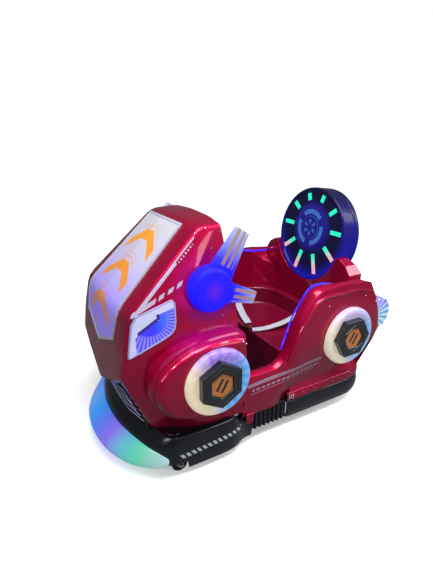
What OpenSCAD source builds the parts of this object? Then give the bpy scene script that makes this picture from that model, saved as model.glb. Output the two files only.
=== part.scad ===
// Battery bumper car for children, with a visor-shaped cowl, lamp rings and a lit headrest disc.
// +X is forward, +Y is the car's left, +Z is up, and the origin is on the floor under the middle.

/* [Overall] */
// Reach of the crescent lamp ahead of the bumper's edge at the middle
lamp_out = 93.05; // [88:0.05:98]
// Reach of the tail lamps behind their straight part
tail_out = 66; // [60:1:70]
// Gap left between pieces that seat on each other
seat_gap = 0.3; // [0.2:0.05:0.5]
// Running clearance of a bore on its pin, on the radius
run_gap = 0.05; // [0.02:0.01:0.09]
// Wall of the moulded shells
shell_t = 8; // [6:1:10]

/* [Chassis] */
// Side of the square frame tube
tube_w = 40; // [36:1:42]
// Height of the frame's top face
frame_top = 158; // [156:1:162]
// Distance of each frame rail from the centre line
rail_y = 190; // [186:1:194]
// Rear end of the frame rails
rail_rear_x = -640; // [-650:1:-620]
// Thickness of the floor plate
floor_t = 6; // [4:1:8]
// Radius of the transport bolt holes in the cross tubes
bolt_hole_r = 5.5; // [4:0.5:6]

/* [Drive wheels] */
// Radius of a rear drive wheel
wheel_r = 100; // [98:1:104]
// Width of a rear drive wheel
wheel_w = 56; // [50:1:58]
// Place of the drive axle along the car
wheel_x = -330; // [-345:1:-315]
// Middle of a rear wheel from the centre line
wheel_y = 262; // [260:1:264]
// Radius of the drive shaft
shaft_r = 10; // [8:0.5:11]
// Radius of the gear motor
motor_r = 42; // [36:1:46]
// Length of the gear motor
motor_len = 110; // [90:1:120]

/* [Casters] */
// Radius of a caster wheel
caster_r = 36; // [34:1:37]
// Width of a caster wheel
caster_w = 28; // [24:1:30]
// Place of the swivel axis along the car
caster_x = 500; // [490:1:510]
// Distance of the swivel axis from the centre line
caster_y = 365; // [360:1:368]
// Trail of the caster wheel behind its swivel axis
caster_trail = 20; // [18:1:22]
// Radius of the swivel stem
stem_r = 8; // [6:0.5:9]
// Radius of the caster axle
caster_pin_r = 5; // [4:0.5:6]

/* [Bumper] */
// Height of the bumper's lower edge
bumper_low = 42; // [40:1:46]
// Height of the front bumper's deck
deck_z = 215; // [212:1:220]
// Half width of the front bumper
bumper_y = 428; // [426:1:432]
// Half width of the rear bumper
rear_bumper_y = 390; // [388:1:394]
// Half length of the ribbed grip between the bumpers
grip_len = 105; // [100:1:110]
// Outer face of the grip from the centre line
grip_y = 380; // [376:1:384]
// Depth of the grip's ribs
rib_depth = 9; // [6:1:12]
// Spacing of the grip's ribs
rib_pitch = 26; // [22:1:34]

/* [Cowl] */
// Chin tip along the car
chin_x = 704; // [700:1:708]
// Height of the chin tip
chin_z = 345; // [338:1:352]
// Height of the bend across the cowl
bend_z = 747; // [740:1:754]
// Height of the crown at the centre line
crown_z = 1086; // [1080:1:1092]
// Rear edge of the cowl's side
cowl_rear_x = 172; // [170:1:178]
// Wall of the cowl
cowl_t = 12; // [10:1:13]
// Half width of the cowl at its ridge, at the bend
ridge_y = 307; // [303:1:311]
// Half width of the light panel at the bend
panel_y = 219; // [210:1:226]
// Thickness of the light panel
panel_t = 7; // [5:1:9]

/* [Side lamps] */
// Outer face of the front fender from the centre line
fender_y = 446; // [442:1:450]
// Radius of a lamp ring
ring_r = 150; // [144:1:154]
// Height of a lamp ring over its seat
ring_h = 26; // [22:1:32]
// Circle through the corners of a hexagon cap
hex_r = 106; // [98:1:110]
// Height of a hexagon cap
hex_h = 34; // [28:1:40]
// Place of the front rings along the car
front_ring_x = 330; // [326:1:334]
// Height of the front rings
front_ring_z = 455; // [450:1:460]
// Place of the rear rings along the car
rear_ring_x = -432; // [-438:1:-426]
// Height of the rear rings
rear_ring_z = 462; // [456:1:466]
// Radius of an ear lamp's disc
ear_r = 97; // [92:1:102]

/* [Tub] */
// Outer face of the tub's side from the centre line
tub_y = 418; // [414:1:422]
// Inner face of the tub's side from the centre line
tub_in_y = 345; // [340:1:350]
// Height of the entry sill
sill_z = 385; // [378:1:392]
// Height of the tub's side rim
rim_z = 738; // [734:1:750]
// Inner back wall of the tub
tub_back_x = -480; // [-484:1:-476]
// Rear face of the tub
tub_rear_x = -740; // [-744:1:-734]
// Seam between the tub's side and tail mouldings
tub_seam_x = -250; // [-258:1:-242]
// Height of the seat
seat_z = 405; // [395:1:415]
// Height of the ledge round the seat back
ledge_z = 505; // [495:1:515]

/* [Headrest disc] */
// Radius of the disc
disc_r = 252; // [246:1:256]
// Thickness of the disc
disc_t = 118; // [108:1:124]
// Height of the disc's centre
disc_z = 881; // [876:1:886]
// Front face of the disc along the car
disc_x = -509; // [-513:1:-505]
// Lean of the disc to the rear
disc_lean = 7; // [5:0.5:9]
// Light bars round the disc
bar_count = 10; // [8:1:12]

/* [Steering] */
// Radius of the steering wheel's rim at its middle
steer_r = 140; // [130:1:150]
// Thickness of the steering wheel's rim
rim_d = 24; // [20:1:28]
// Height of the steering wheel's centre
steer_z = 640; // [630:1:650]
// Place of the steering wheel's centre along the car
steer_x = 90; // [80:1:100]
// Rake of the steering column above level
steer_rake = 35; // [30:1:40]
// Radius of the steering shaft
steer_shaft_r = 8; // [6:0.5:9]

/* [Hidden] */
$fn = 64;

// Points added to each rounded corner of a moulded form
round_n = 2;

// Vectors, mirrored rows and rounded corners
function unit(v) = norm(v) > 0 ? v / norm(v) : v;
function mix(a, b, t) = a + (b - a) * t;
function mean(points) = [for (p = points) 1] * points / len(points);
function flip_y(p) = [p.x, -p.y, p.z];
function both_sides(half) = concat([for (i = [len(half) - 1 : -1 : 1]) flip_y(half[i])], half);
function transposed(g) = [for (j = [0 : len(g[0]) - 1]) [for (row = g) row[j]]];
function corner(a, b, c, r, n) =
    let (p = b + unit(a - b) * min(r, norm(a - b) * 0.45))
    let (q = b + unit(c - b) * min(r, norm(c - b) * 0.45))
    [for (k = [0 : n]) let (t = k / n) p * (1 - t) * (1 - t) + b * 2 * t * (1 - t) + q * t * t];
function at(r, i) = is_list(r) ? r[i] : r;
function soften(path, r, n = round_n) =
    let (last = len(path) - 1)
    [
        path[0],
        for (i = [1 : last - 1]) each corner(path[i - 1], path[i], path[i + 1], at(r, i), n),
        path[last]
    ];
function soften_loop(path, r, n = round_n) =
    let (m = len(path))
    [for (i = [0 : m - 1]) each corner(path[(i + m - 1) % m], path[i], path[(i + 1) % m], at(r, i), n)];
function soften_grid(g, r_row, r_column) =
    transposed([for (column = transposed([for (row = g) soften(row, r_row)])) soften(column, r_column)]);

// Outward direction of a grid whose rows rise and whose columns run to the left round the outside
function grid_normal(g, i, j) =
    let (rise = g[min(i + 1, len(g) - 1)][j] - g[max(i - 1, 0)][j])
    let (run = g[i][min(j + 1, len(g[0]) - 1)] - g[i][max(j - 1, 0)])
    unit(cross(run, rise));
function pushed(g, d) =
    [for (i = [0 : len(g) - 1]) [for (j = [0 : len(g[0]) - 1]) g[i][j] + grid_normal(g, i, j) * d]];

// Solid between an outer grid and an inner grid with the same points; the first columns, on the
// right of a symmetric grid, take the mirrored diagonal
module between(outer, inner, mirrored = 0) {
    n = len(outer);
    m = len(outer[0]);
    k = n * m;
    function quad(a, b, c, d) = [[a, b, c], [a, c, d]];
    skins = [
        for (i = [0 : n - 2]) for (j = [0 : m - 2]) let (a = i * m + j) each (j < mirrored ? concat(
            quad(a + m, a + m + 1, a + 1, a),
            quad(k + a + m, k + a, k + a + 1, k + a + m + 1)
        ) : concat(
            quad(a, a + m, a + m + 1, a + 1),
            quad(k + a, k + a + 1, k + a + m + 1, k + a + m)
        ))
    ];
    ends = [
        for (j = [0 : m - 2]) let (t = (n - 1) * m + j) each concat(
            quad(j, j + 1, k + j + 1, k + j),
            quad(t + 1, t, k + t, k + t + 1)
        )
    ];
    sides = [
        for (i = [0 : n - 2]) let (a = i * m, b = i * m + m - 1) each concat(
            quad(a + m, a, k + a, k + a + m),
            quad(b, b + m, k + b + m, k + b)
        )
    ];
    polyhedron(
        concat([for (row = outer) each row], [for (row = inner) each row]),
        concat(skins, ends, sides)
    );
}

// Wall of thickness t inside a symmetric grid
module wall(g, t) {
    between(g, pushed(g, -t), (len(g[0]) - 1) / 2);
}

// Solid through closed rings that turn left-handed as seen along the way
module loft(rings) {
    n = len(rings);
    m = len(rings[0]);
    skins = [
        for (i = [0 : n - 2]) for (j = [0 : m - 1])
            let (a = i * m + j, b = i * m + (j + 1) % m, c = b + m, d = a + m)
            each [[a, c, b], [a, d, c]]
    ];
    first = [for (j = [0 : m - 1]) [n * m, j, (j + 1) % m]];
    last = [for (j = [0 : m - 1]) [n * m + 1, (n - 1) * m + (j + 1) % m, (n - 1) * m + j]];
    polyhedron(
        concat([for (r = rings) each r], [mean(rings[0]), mean(rings[n - 1])]),
        concat(skins, first, last)
    );
}

// Solid turned about an axis along +Y
module turned_y(profile) {
    rotate([-90, 0, 0]) rotate_extrude() polygon(profile);
}

module both(left) {
    if (left) children();
    else mirror([0, 1, 0]) children();
}

// Frame of square tube with caster bosses at the front corners
frame_mid = frame_top - tube_w / 2;
frame_low = frame_top - tube_w;
front_cross_x = caster_x;
post_cross_x = 270;
mid_cross_x = [0, -125];
rear_cross_x = rail_rear_x + tube_w / 2;
grip_in_y = grip_y - 46;
boss_r = 26;
boss_low = 96;
post_y = 300;
side_post_y = 350;
bolt_y = 120;
rear_cross_half = 250;

module tube_y(x, half) {
    translate([x, 0, frame_mid]) cube([tube_w, 2 * half, tube_w], center = true);
}
module post(x, y) {
    h = deck_z - shell_t - seat_gap - frame_mid;
    translate([x, y, frame_mid + h / 2]) cube([tube_w, tube_w, h], center = true);
}
module chassis_frame() {
    rail_front = front_cross_x + tube_w / 2;
    color("dimgray") difference() {
        union() {
            for (s = [-1, 1]) {
                translate([(rail_rear_x + rail_front) / 2, s * rail_y, frame_mid])
                    cube([rail_front - rail_rear_x, tube_w, tube_w], center = true);
                post(front_cross_x, s * post_y);
                post(post_cross_x, s * side_post_y);
                translate([caster_x, s * caster_y, boss_low])
                    cylinder(r = boss_r, h = frame_top - boss_low);
            }
            tube_y(front_cross_x, caster_y);
            tube_y(post_cross_x, side_post_y + tube_w / 2);
            tube_y(rear_cross_x, rear_cross_half);
            for (x = mid_cross_x) tube_y(x, grip_in_y - seat_gap);
        }
        for (s = [-1, 1]) {
            translate([caster_x, s * caster_y, boss_low - 1])
                cylinder(r = stem_r + run_gap, h = tube_w * 2);
            for (x = [mid_cross_x[0], rear_cross_x])
                translate([x, s * bolt_y, frame_low - 1]) cylinder(r = bolt_hole_r, h = tube_w + 2);
        }
    }
}

// Floor plate: full width in the footwell, narrow between the drive wheels
floor_low = frame_top + seat_gap;
floor_top = floor_low + floor_t;
floor_edge = grip_in_y - 4;
floor_wide_x = -140;
floor_narrow = wheel_y - wheel_w / 2 - 9;
module floor_pan() {
    half = [
        [front_cross_x - 30, floor_narrow], [post_cross_x - 25, floor_narrow],
        [post_cross_x - 25, floor_edge], [floor_wide_x, floor_edge],
        [floor_wide_x, floor_narrow], [rail_rear_x + 60, floor_narrow]
    ];
    color("midnightblue") translate([0, 0, floor_low]) linear_extrude(floor_t)
        polygon(concat(half, [for (i = [len(half) - 1 : -1 : 0]) [half[i].x, -half[i].y]]));
}

// Battery block behind the seat's riser
battery_size = [220, 260, 190];
battery_room = 14;
module battery() {
    front = seat_front_x - seat_wall - battery_room;
    color("dimgray")
        translate([front - battery_size.x, -battery_size.y / 2, floor_top + seat_gap])
        cube(battery_size);
}

// Gear motor on a plate at the rail's inner face, with the wheel's shaft
plate_t = 5;
collar_r = 17;
shaft_end = wheel_y + wheel_w / 2;
module drive_unit(left) {
    inner = rail_y - tube_w / 2 - seat_gap;
    color("slategray") both(left) {
        translate([wheel_x - 50, inner - plate_t, wheel_r - motor_r - 6])
            cube([100, plate_t, frame_top - wheel_r + motor_r + 4]);
        translate([wheel_x, inner - plate_t, wheel_r]) rotate([90, 0, 0])
            cylinder(r = motor_r, h = motor_len);
        translate([wheel_x, inner - plate_t, wheel_r]) rotate([-90, 0, 0])
            cylinder(r = shaft_r, h = shaft_end + 6 - inner + plate_t);
        translate([wheel_x, wheel_y - wheel_w / 2 - 9, wheel_r]) rotate([-90, 0, 0])
            cylinder(r = collar_r, h = 9 - seat_gap);
        translate([wheel_x, shaft_end + seat_gap, wheel_r]) rotate([-90, 0, 0])
            cylinder(r = collar_r, h = 7);
    }
}
module drive_unit_left() { drive_unit(true); }
module drive_unit_right() { drive_unit(false); }

// Solid-tyred wheels turned about their axles
hub_r = 58;
module wheel_profile(r, w, bore, hub, dish) {
    h = w / 2;
    lip = r * 0.08;
    polygon([
        [bore, -h], [hub * 0.5, -h], [hub * 0.6, -h + dish], [hub * 0.92, -h + dish], [hub, -h],
        [r - lip * 2, -h], [r - lip, -h + lip * 0.3], [r, -h + lip * 1.6],
        [r, h - lip * 1.6], [r - lip, h - lip * 0.3], [r - lip * 2, h],
        [hub, h], [hub * 0.92, h - dish], [hub * 0.6, h - dish], [hub * 0.5, h], [bore, h]
    ]);
}
module rear_wheel(left) {
    color("black") both(left) translate([wheel_x, wheel_y, wheel_r]) rotate([-90, 0, 0])
        rotate_extrude() wheel_profile(wheel_r, wheel_w, shaft_r + run_gap, hub_r, 12);
}
module rear_wheel_left() { rear_wheel(true); }
module rear_wheel_right() { rear_wheel(false); }

// Caster fork with its stem through the boss, and its wheel on the cross pin
leg_t = 5;
leg_gap = 5;
crown_low = caster_r * 2 + 5;
module caster_fork(left) {
    leg_y = caster_w / 2 + leg_gap;
    pin_x = caster_x - caster_trail;
    color("silver") both(left) translate([0, caster_y, 0]) {
        for (s = [-1, 1]) translate([0, s * (leg_y + leg_t / 2), 0]) rotate([90, 0, 0])
            linear_extrude(leg_t, center = true) polygon([
                [pin_x - 10, caster_r - 9], [pin_x + 10, caster_r - 9], [caster_x + 20, crown_low],
                [caster_x + 20, crown_low + 8], [pin_x - 2, crown_low + 8], [pin_x - 14, caster_r + 6]
            ]);
        translate([caster_x - caster_trail - 2, -leg_y - leg_t, crown_low])
            cube([caster_trail + 22, 2 * (leg_y + leg_t), 8]);
        translate([caster_x, 0, crown_low]) cylinder(r = stem_r, h = frame_top + 8 - crown_low);
        translate([caster_x, 0, frame_top + seat_gap]) cylinder(r = stem_r + 6, h = 8);
        translate([pin_x, 0, caster_r]) rotate([90, 0, 0])
            cylinder(r = caster_pin_r, h = 2 * (leg_y + leg_t) + 4, center = true);
    }
}
module caster_fork_left() { caster_fork(true); }
module caster_fork_right() { caster_fork(false); }
module caster_wheel(left) {
    color("black") both(left) translate([caster_x - caster_trail, caster_y, caster_r]) rotate([-90, 0, 0])
        rotate_extrude() wheel_profile(caster_r, caster_w, caster_pin_r + run_gap, caster_r * 0.6, 4);
}
module caster_wheel_left() { caster_wheel(true); }
module caster_wheel_right() { caster_wheel(false); }

// Bumper shells swept round the nose and the tail
rear_deck = frame_top + seat_gap + shell_t;
function plan_out(p, j) =
    let (t = unit(p[min(j + 1, len(p) - 1)] - p[max(j - 1, 0)]))
    [t.y, -t.x, 0];
// Grid of a section [outward, height] carried along a plan path
function swept(path, section) = transposed([
    for (j = [0 : len(path) - 1])
        [for (s = section(path[j])) [path[j].x, path[j].y, 0] + plan_out(path, j) * s[0] + [0, 0, s[1]]]
]);
nose_half = [
    [675, 0, 0], [669, 100, 0], [655, 172, 0], [632, 268, 0], [597, 362, 0], [548, 420, 0],
    [480, bumper_y, 0], [250, bumper_y, 0], [195, 415, 0], [150, grip_y + 6, 0], [grip_len, grip_y + 6, 0]
];
nose_path = soften(both_sides(nose_half), 60);
function clamped(t) = min(max(t, 0), 1);
function front_deck(x) = mix(rear_deck, deck_z, clamped((x - 176) / 30));
// The deck slopes down to the lamp at the nose and stands square at the sides
front_section = function (p)
    let (w = clamped((p.x - 500) / 110), d = front_deck(p.x), h = d - bumper_low)
    let (reach = mix(40, 125, clamped((p.x - 185) / 60)))
    soften([
        [-8 - 14 * w, bumper_low + 20 * w, 0], [-4 * w, bumper_low + h * 0.3, 0],
        [w - 1, bumper_low + h * mix(0.74, 0.67, w), 0], [mix(-5, -36, w), d - h * mix(0.06, 0.11, w), 0],
        [mix(-16, -58, w), d, 0], [-reach, d, 0]
    ], 22);
arch_r = caster_trail + caster_r + 14;
module bumper_front() {
    color([0.07, 0.09, 0.12]) difference() {
        wall(swept(nose_path, front_section), shell_t);
        for (s = [-1, 1]) translate([caster_x, s * caster_y, 0]) cylinder(r = arch_r, h = caster_r * 2 + 10);
    }
}
tail_half = [
    [-690, 0, 0], [-687, -170, 0], [-668, -280, 0], [-622, -358, 0], [-550, -rear_bumper_y, 0],
    [-160, -rear_bumper_y, 0], [-grip_len - 25, -grip_y - 8, 0], [-grip_len, -grip_y - 4, 0]
];
tail_path = soften(both_sides(tail_half), 55);
rear_low = 58;
rear_section = function (p)
    let (h = rear_deck - rear_low, reach = mix(36, 82, clamped((-p.x - 150) / 60)))
    soften([
        [-16, rear_low, 0], [0, rear_low + h * 0.35, 0], [-1, rear_deck - h * 0.2, 0],
        [-14, rear_deck, 0], [-reach, rear_deck, 0]
    ], 18);
module bumper_rear() {
    color([0.07, 0.09, 0.12]) wall(swept(tail_path, rear_section), shell_t);
}

// Red skirt strip on the rear bumper's deck, wide enough at the tail to reach under the tub
skirt_h = 38;
skirt_t = 5;
skirt_section = function (p)
    let (w = mix(9, 34, clamped((-p.x - 666) / 20)), z = rear_deck + seat_gap)
    soften([[-3, z, 0], [-2, z + skirt_h * 0.55, 0], [-6, z + skirt_h, 0], [-w, z + skirt_h + 2, 0]], 12);
module rear_skirt() {
    color([0.58, 0.02, 0.16]) wall(swept(tail_path, skirt_section), skirt_t);
}

// Ribbed grip between the two bumpers
grip_low = 66;
module grip(left) {
    ribs = floor((2 * grip_len - 20) / rib_pitch);
    first = -ribs * rib_pitch / 2;
    outline = concat(
        [[-grip_len + seat_gap, grip_in_y], [-grip_len + seat_gap, grip_y - rib_depth]],
        [for (k = [0 : ribs - 1]) let (x = first + k * rib_pitch) each [
            [x + rib_pitch * 0.2, grip_y - rib_depth], [x + rib_pitch * 0.32, grip_y],
            [x + rib_pitch * 0.68, grip_y], [x + rib_pitch * 0.8, grip_y - rib_depth]
        ]],
        [[grip_len - seat_gap, grip_y - rib_depth], [grip_len - seat_gap, grip_in_y]]
    );
    color([0.07, 0.09, 0.12]) both(left) translate([0, 0, grip_low])
        linear_extrude(rear_deck - grip_low) polygon(outline);
}
module grip_left() { grip(true); }
module grip_right() { grip(false); }

// Crescent lamp: an apron that swells from the bumper's edge to its widest near the floor
lamp_gap = -0.7;
lamp_rear_x = 545;
// Reach, lowest and highest point of the lamp by distance from the centre line
lamp_reach = [[0, lamp_out], [100, 90], [172, 83], [268, 60], [330, 31], [386, 16], [420, 7]];
lamp_low = [[0, 0], [268, 1], [330, 6], [386, 24], [420, 58]];
lamp_high = [[0, 158], [268, 157], [330, 155], [386, 147], [420, 120]];
function lamp_ring(p, out) =
    let (y = abs(p.y), i = p + out * lamp_gap, d = out * lookup(y, lamp_reach))
    let (lo = bumper_low + lookup(y, lamp_low), hi = lookup(y, lamp_high))
    soften_loop([
        i + [0, 0, hi], i + d * 0.56 + [0, 0, mix(lo, hi, 0.82)], i + d + [0, 0, mix(lo, hi, 0.42)],
        i + d + [0, 0, mix(lo, hi, 0.22)], i + d * 0.86 + [0, 0, lo], i + [0, 0, lo + 8]
    ], [6, 34, 30, 12, 16, 4]);
module nose_lamp() {
    color("mediumpurple", 0.8) loft([
        for (j = [0 : len(nose_path) - 1])
            if (nose_path[j].x > lamp_rear_x) lamp_ring(nose_path[j], plan_out(nose_path, j))
    ]);
}

// Upper edge of the light panel, below the crown
panel_top_z = crown_z - 25;
// Cowl: each row runs from the centre line over panel edge, ridge and cheek to the rear edge
cowl_low = deck_z + seat_gap;
cowl_half = [
    // deck line
    [[618, 0, cowl_low], [612, 170, cowl_low], [575, 297, cowl_low], [390, 393, cowl_low],
        [cowl_rear_x, 405, cowl_low]],
    // top of the recess under the chin
    [[642, 0, chin_z - 12], [647, 186, 394], [655, 304, 398], [402, 393, 372], [cowl_rear_x, 404, 372]],
    // chin edge
    [[chin_x, 0, chin_z], [698, 190, 428], [691, 302, 494], [414, 370, 500], [cowl_rear_x, 376, 500]],
    // lower edge of the light panel
    [[686, 0, 530], [674, 203, 616], [673, 314, 602], [422, 352, 606], [cowl_rear_x + 2, 350, 620]],
    // bend
    [[662, 0, bend_z + 6], [651, panel_y, bend_z], [642, ridge_y, bend_z + 4], [430, 336, 758],
        [cowl_rear_x + 8, 334, 758]],
    // top of the light panel
    [[346, 0, panel_top_z + 6], [333, 176, panel_top_z], [318, 258, panel_top_z - 8],
        [268, 258, panel_top_z - 2], [cowl_rear_x + 33, 250, panel_top_z - 4]],
    // crown
    [[300, 0, crown_z - 5], [290, 160, crown_z - 10], [280, 216, crown_z - 20], [254, 226, crown_z - 21],
        [cowl_rear_x + 36, 224, crown_z - 24]],
    // rear edge of the crown
    [[cowl_rear_x + 44, 0, crown_z], [cowl_rear_x + 41, 140, crown_z - 7],
        [cowl_rear_x + 40, 168, crown_z - 10], [cowl_rear_x + 39, 184, crown_z - 13],
        [cowl_rear_x + 38, 198, crown_z - 17]]
];
cowl_row_r = [0, 60, 22, 10, 14, 10, 22, 60, 0];
cowl_column_r = [0, 10, 14, 16, 34, 26, 30, 0];
cowl_grid = soften_grid([for (half = cowl_half) both_sides(half)], cowl_row_r, cowl_column_r);
// Columns of one cheek, from behind the ridge to the rear edge, below the crown
cheek_first = 6 * (round_n + 1);
cheek_rows = 5 * (round_n + 1) - 1;
cheek_grid = [
    for (i = [0 : cheek_rows]) [for (j = [cheek_first : len(cowl_grid[0]) - 1]) cowl_grid[i][j]]
];
cheek_back_y = 150;
// Volume behind the left cheek's outer face, with the face moved out by d
module cheek_block(d) {
    between(
        [for (row = cheek_grid) [for (p = row) p + [0, d, 0]]],
        [for (row = cheek_grid) [for (p = row) [p.x, cheek_back_y, p.z]]]
    );
}
// Outline of a headlight in side view, and the cut's reach across the car
headlight_in_y = 240;
headlight_out_y = 420;
headlight_outline = soften_loop(
    [[634, 746, 0], [452, 803, 0], [458, 673, 0], [498, 646, 0], [662, 576, 0]], [22, 20, 30, 40, 18]
);
module headlight_prism(grow, y0, y1) {
    c = mean(headlight_outline);
    translate([0, y1, 0]) rotate([90, 0, 0]) linear_extrude(y1 - y0)
        polygon([for (p = headlight_outline) let (q = p + unit(p - c) * grow) [q.x, q.y]]);
}
module front_cowl() {
    color([0.58, 0.02, 0.16]) difference() {
        wall(cowl_grid, cowl_t);
        for (s = [0, 1]) mirror([0, s, 0]) headlight_prism(0, headlight_in_y, headlight_out_y);
    }
}
module headlight(left) {
    color("lavender") both(left) intersection() {
        headlight_prism(-seat_gap, headlight_in_y, headlight_out_y);
        difference() {
            cheek_block(3);
            cheek_block(-cowl_t);
        }
    }
}
module headlight_left() { headlight(true); }
module headlight_right() { headlight(false); }

// Light panel on the cowl's front face
panel_gap = 1.1;
module light_panel() {
    bend_row = 4;
    row = function (k, inset, towards_bend)
        let (h = [for (j = [0, 1]) mix(cowl_half[k][j], cowl_half[bend_row][j], towards_bend)])
        both_sides([h[0], mix(h[1], h[0], inset / h[1].y)]);
    g = soften_grid([row(3, 6, 0.045), row(bend_row, 4, 0), row(5, 6, 0.018)], 8, 34);
    color("lavender") between(pushed(g, panel_t + panel_gap), pushed(g, panel_gap), (len(g[0]) - 1) / 2);
}

// Slats across the recess under the chin, cut to the recess's own face
slat_count = 4;
slat_h = 7;
slat_d = 9;
slat_root = 14;
recess_first = 2 * (round_n + 1) - 1;
module recess_block() {
    n = len(cowl_grid[0]) - 1;
    face = [for (i = [0 : round_n + 1]) [for (j = [recess_first : n - recess_first]) cowl_grid[i][j]]];
    between(
        pushed(face, seat_gap), [for (row = face) [for (p = row) p - [60, 0, 0]]], (len(face[0]) - 1) / 2
    );
}
module chin_grille() {
    color("white") difference() {
        for (k = [1 : slat_count]) {
            t = k / (slat_count + 1);
            line = both_sides([
                for (j = [0 : 2]) mix(cowl_half[0][j], cowl_half[1][j], t) + [0, j == 2 ? -10 : 0, 0]
            ]);
            loft([
                for (p = line) [
                    p + [-slat_root, 0, slat_h / 2], p + [slat_d, 0, slat_h / 2],
                    p + [slat_d, 0, -slat_h / 2], p + [-slat_root, 0, -slat_h / 2]
                ]
            ]);
        }
        recess_block();
    }
}

// Front fender: an oval bulge with a stepped shoulder, seated on the cheek
fender_rear_x = 163;
sill_y = 400;
fender_top_z = 640;
fender_low_z = 262;
fender_reach = 281;
fender_steps = [[330, 0], [396, 0], [408, 3], [411, 13], [426, 16], [439, 24], [fender_y, 40]];
module fender(left) {
    top = fender_top_z - front_ring_z;
    low = front_ring_z - fender_low_z;
    outline = soften_loop(concat(
        [[fender_rear_x, 0, fender_low_z + 14], [fender_rear_x, 0, fender_top_z - 28],
            [fender_rear_x + 34, 0, fender_top_z]],
        [for (a = [90 : -15 : -90]) [
            front_ring_x + fender_reach * cos(a), 0, front_ring_z + (a > 0 ? top : low) * sin(a)
        ]]
    ), concat([14, 14, 30], [for (a = [0 : 12]) 30]), 1);
    c = [front_ring_x, 0, front_ring_z];
    rings = [
        for (s = fender_steps)
            [for (p = outline) c + (p - c) - unit(p - c) * s[1] + [0, s[0], 0]]
    ];
    color([0.58, 0.02, 0.16]) both(left) difference() {
        loft(rings);
        cheek_block(seat_gap + 0.1);
        translate([fender_rear_x - 1, 300, fender_low_z - 20])
            cube([cowl_rear_x + 4 - fender_rear_x, sill_y + 5 - 300, 500]);
    }
}
module fender_left() { fender(true); }
module fender_right() { fender(false); }

// Lamp rings and their hexagon caps
hex_seat = 12;
plug_r = ring_r - 5;
rear_sink = 44;
module ring_lamp(left, x, y, z, sink) {
    crown = [for (a = [180 : -20 : 0]) [
        (ring_r + hex_r + 6) / 2 + cos(a) * (ring_r - hex_r - 6) / 2,
        hex_seat + (ring_h - hex_seat) * sin(a)
    ]];
    color("ghostwhite") both(left) translate([x, y + seat_gap, z]) turned_y(concat(
        [[0, -sink], [0, hex_seat]], crown, [[ring_r, 0]], sink > 0 ? [[plug_r, 0], [plug_r, -sink]] : []
    ));
}
module hex_cap(left, x, y, z, turn) {
    color([0.07, 0.07, 0.08]) both(left) translate([x, y + hex_seat + 2 * seat_gap, z])
        rotate([-90, 0, 0]) rotate([0, 0, turn]) difference() {
            cylinder(r = hex_r, h = hex_h, $fn = 6);
            translate([0, 0, hex_h - 6]) cylinder(r = hex_r * 0.56, h = 7, $fn = 6);
        }
}
module front_ring_left() { ring_lamp(true, front_ring_x, fender_y, front_ring_z, 0); }
module front_ring_right() { ring_lamp(false, front_ring_x, fender_y, front_ring_z, 0); }
module rear_ring_left() { ring_lamp(true, rear_ring_x, tub_y, rear_ring_z, rear_sink); }
module rear_ring_right() { ring_lamp(false, rear_ring_x, tub_y, rear_ring_z, rear_sink); }
module front_hex_left() { hex_cap(true, front_ring_x, fender_y, front_ring_z, 30); }
module front_hex_right() { hex_cap(false, front_ring_x, fender_y, front_ring_z, 30); }
module rear_hex_left() { hex_cap(true, rear_ring_x, tub_y, rear_ring_z, 0); }
module rear_hex_right() { hex_cap(false, rear_ring_x, tub_y, rear_ring_z, 0); }

// Ear lamp: a domed disc with two bevelled blades swept to the rear
ear_x = 300;
ear_y = 300;
ear_z = 818;
ear_out = 372;
module ear_blade(tip, root_half, tip_half, thick) {
    away = unit(tip);
    side = [-away.y, away.x];
    rotate([90, 0, 0]) hull() {
        for (s = [-1, 1]) {
            translate(away * ear_r * 0.35 + side * s * root_half)
                cylinder(r = 3, h = thick * 0.45, center = true, $fn = 16);
            translate(tip + side * s * tip_half)
                cylinder(r = 3, h = thick * 0.4, center = true, $fn = 16);
        }
        translate(away * ear_r * 0.35) cylinder(r = 3, h = thick, center = true, $fn = 16);
        translate(tip - away * 26) cylinder(r = 3, h = thick * 0.7, center = true, $fn = 16);
    }
}
module ear_lamp(left) {
    color("slateblue", 0.8) both(left) difference() {
        union() {
            translate([ear_x, ear_y, ear_z]) turned_y([
                [0, 0], [ear_r - 8, 0], [ear_r, 10], [ear_r, ear_out - ear_y - 22],
                [ear_r - 6, ear_out - ear_y - 10], [ear_r * 0.8, ear_out - ear_y], [0, ear_out - ear_y + 4]
            ]);
            translate([ear_x, ear_y + 42, ear_z]) {
                ear_blade([-142, 224], 62, 30, 46);
                ear_blade([-208, -74], 46, 24, 40);
            }
        }
        cheek_block(seat_gap + 0.1);
    }
}
module ear_lamp_left() { ear_lamp(true); }
module ear_lamp_right() { ear_lamp(false); }

// Tub: a wall of full thickness swept from the left sill round the back to the right sill, in four mouldings
tub_low = rear_deck + seat_gap;
sill_front_x = fender_rear_x - 2 * seat_gap;
corner_out = [-662, 352];
corner_in = [tub_back_x + 130, tub_in_y - 130];
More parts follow.
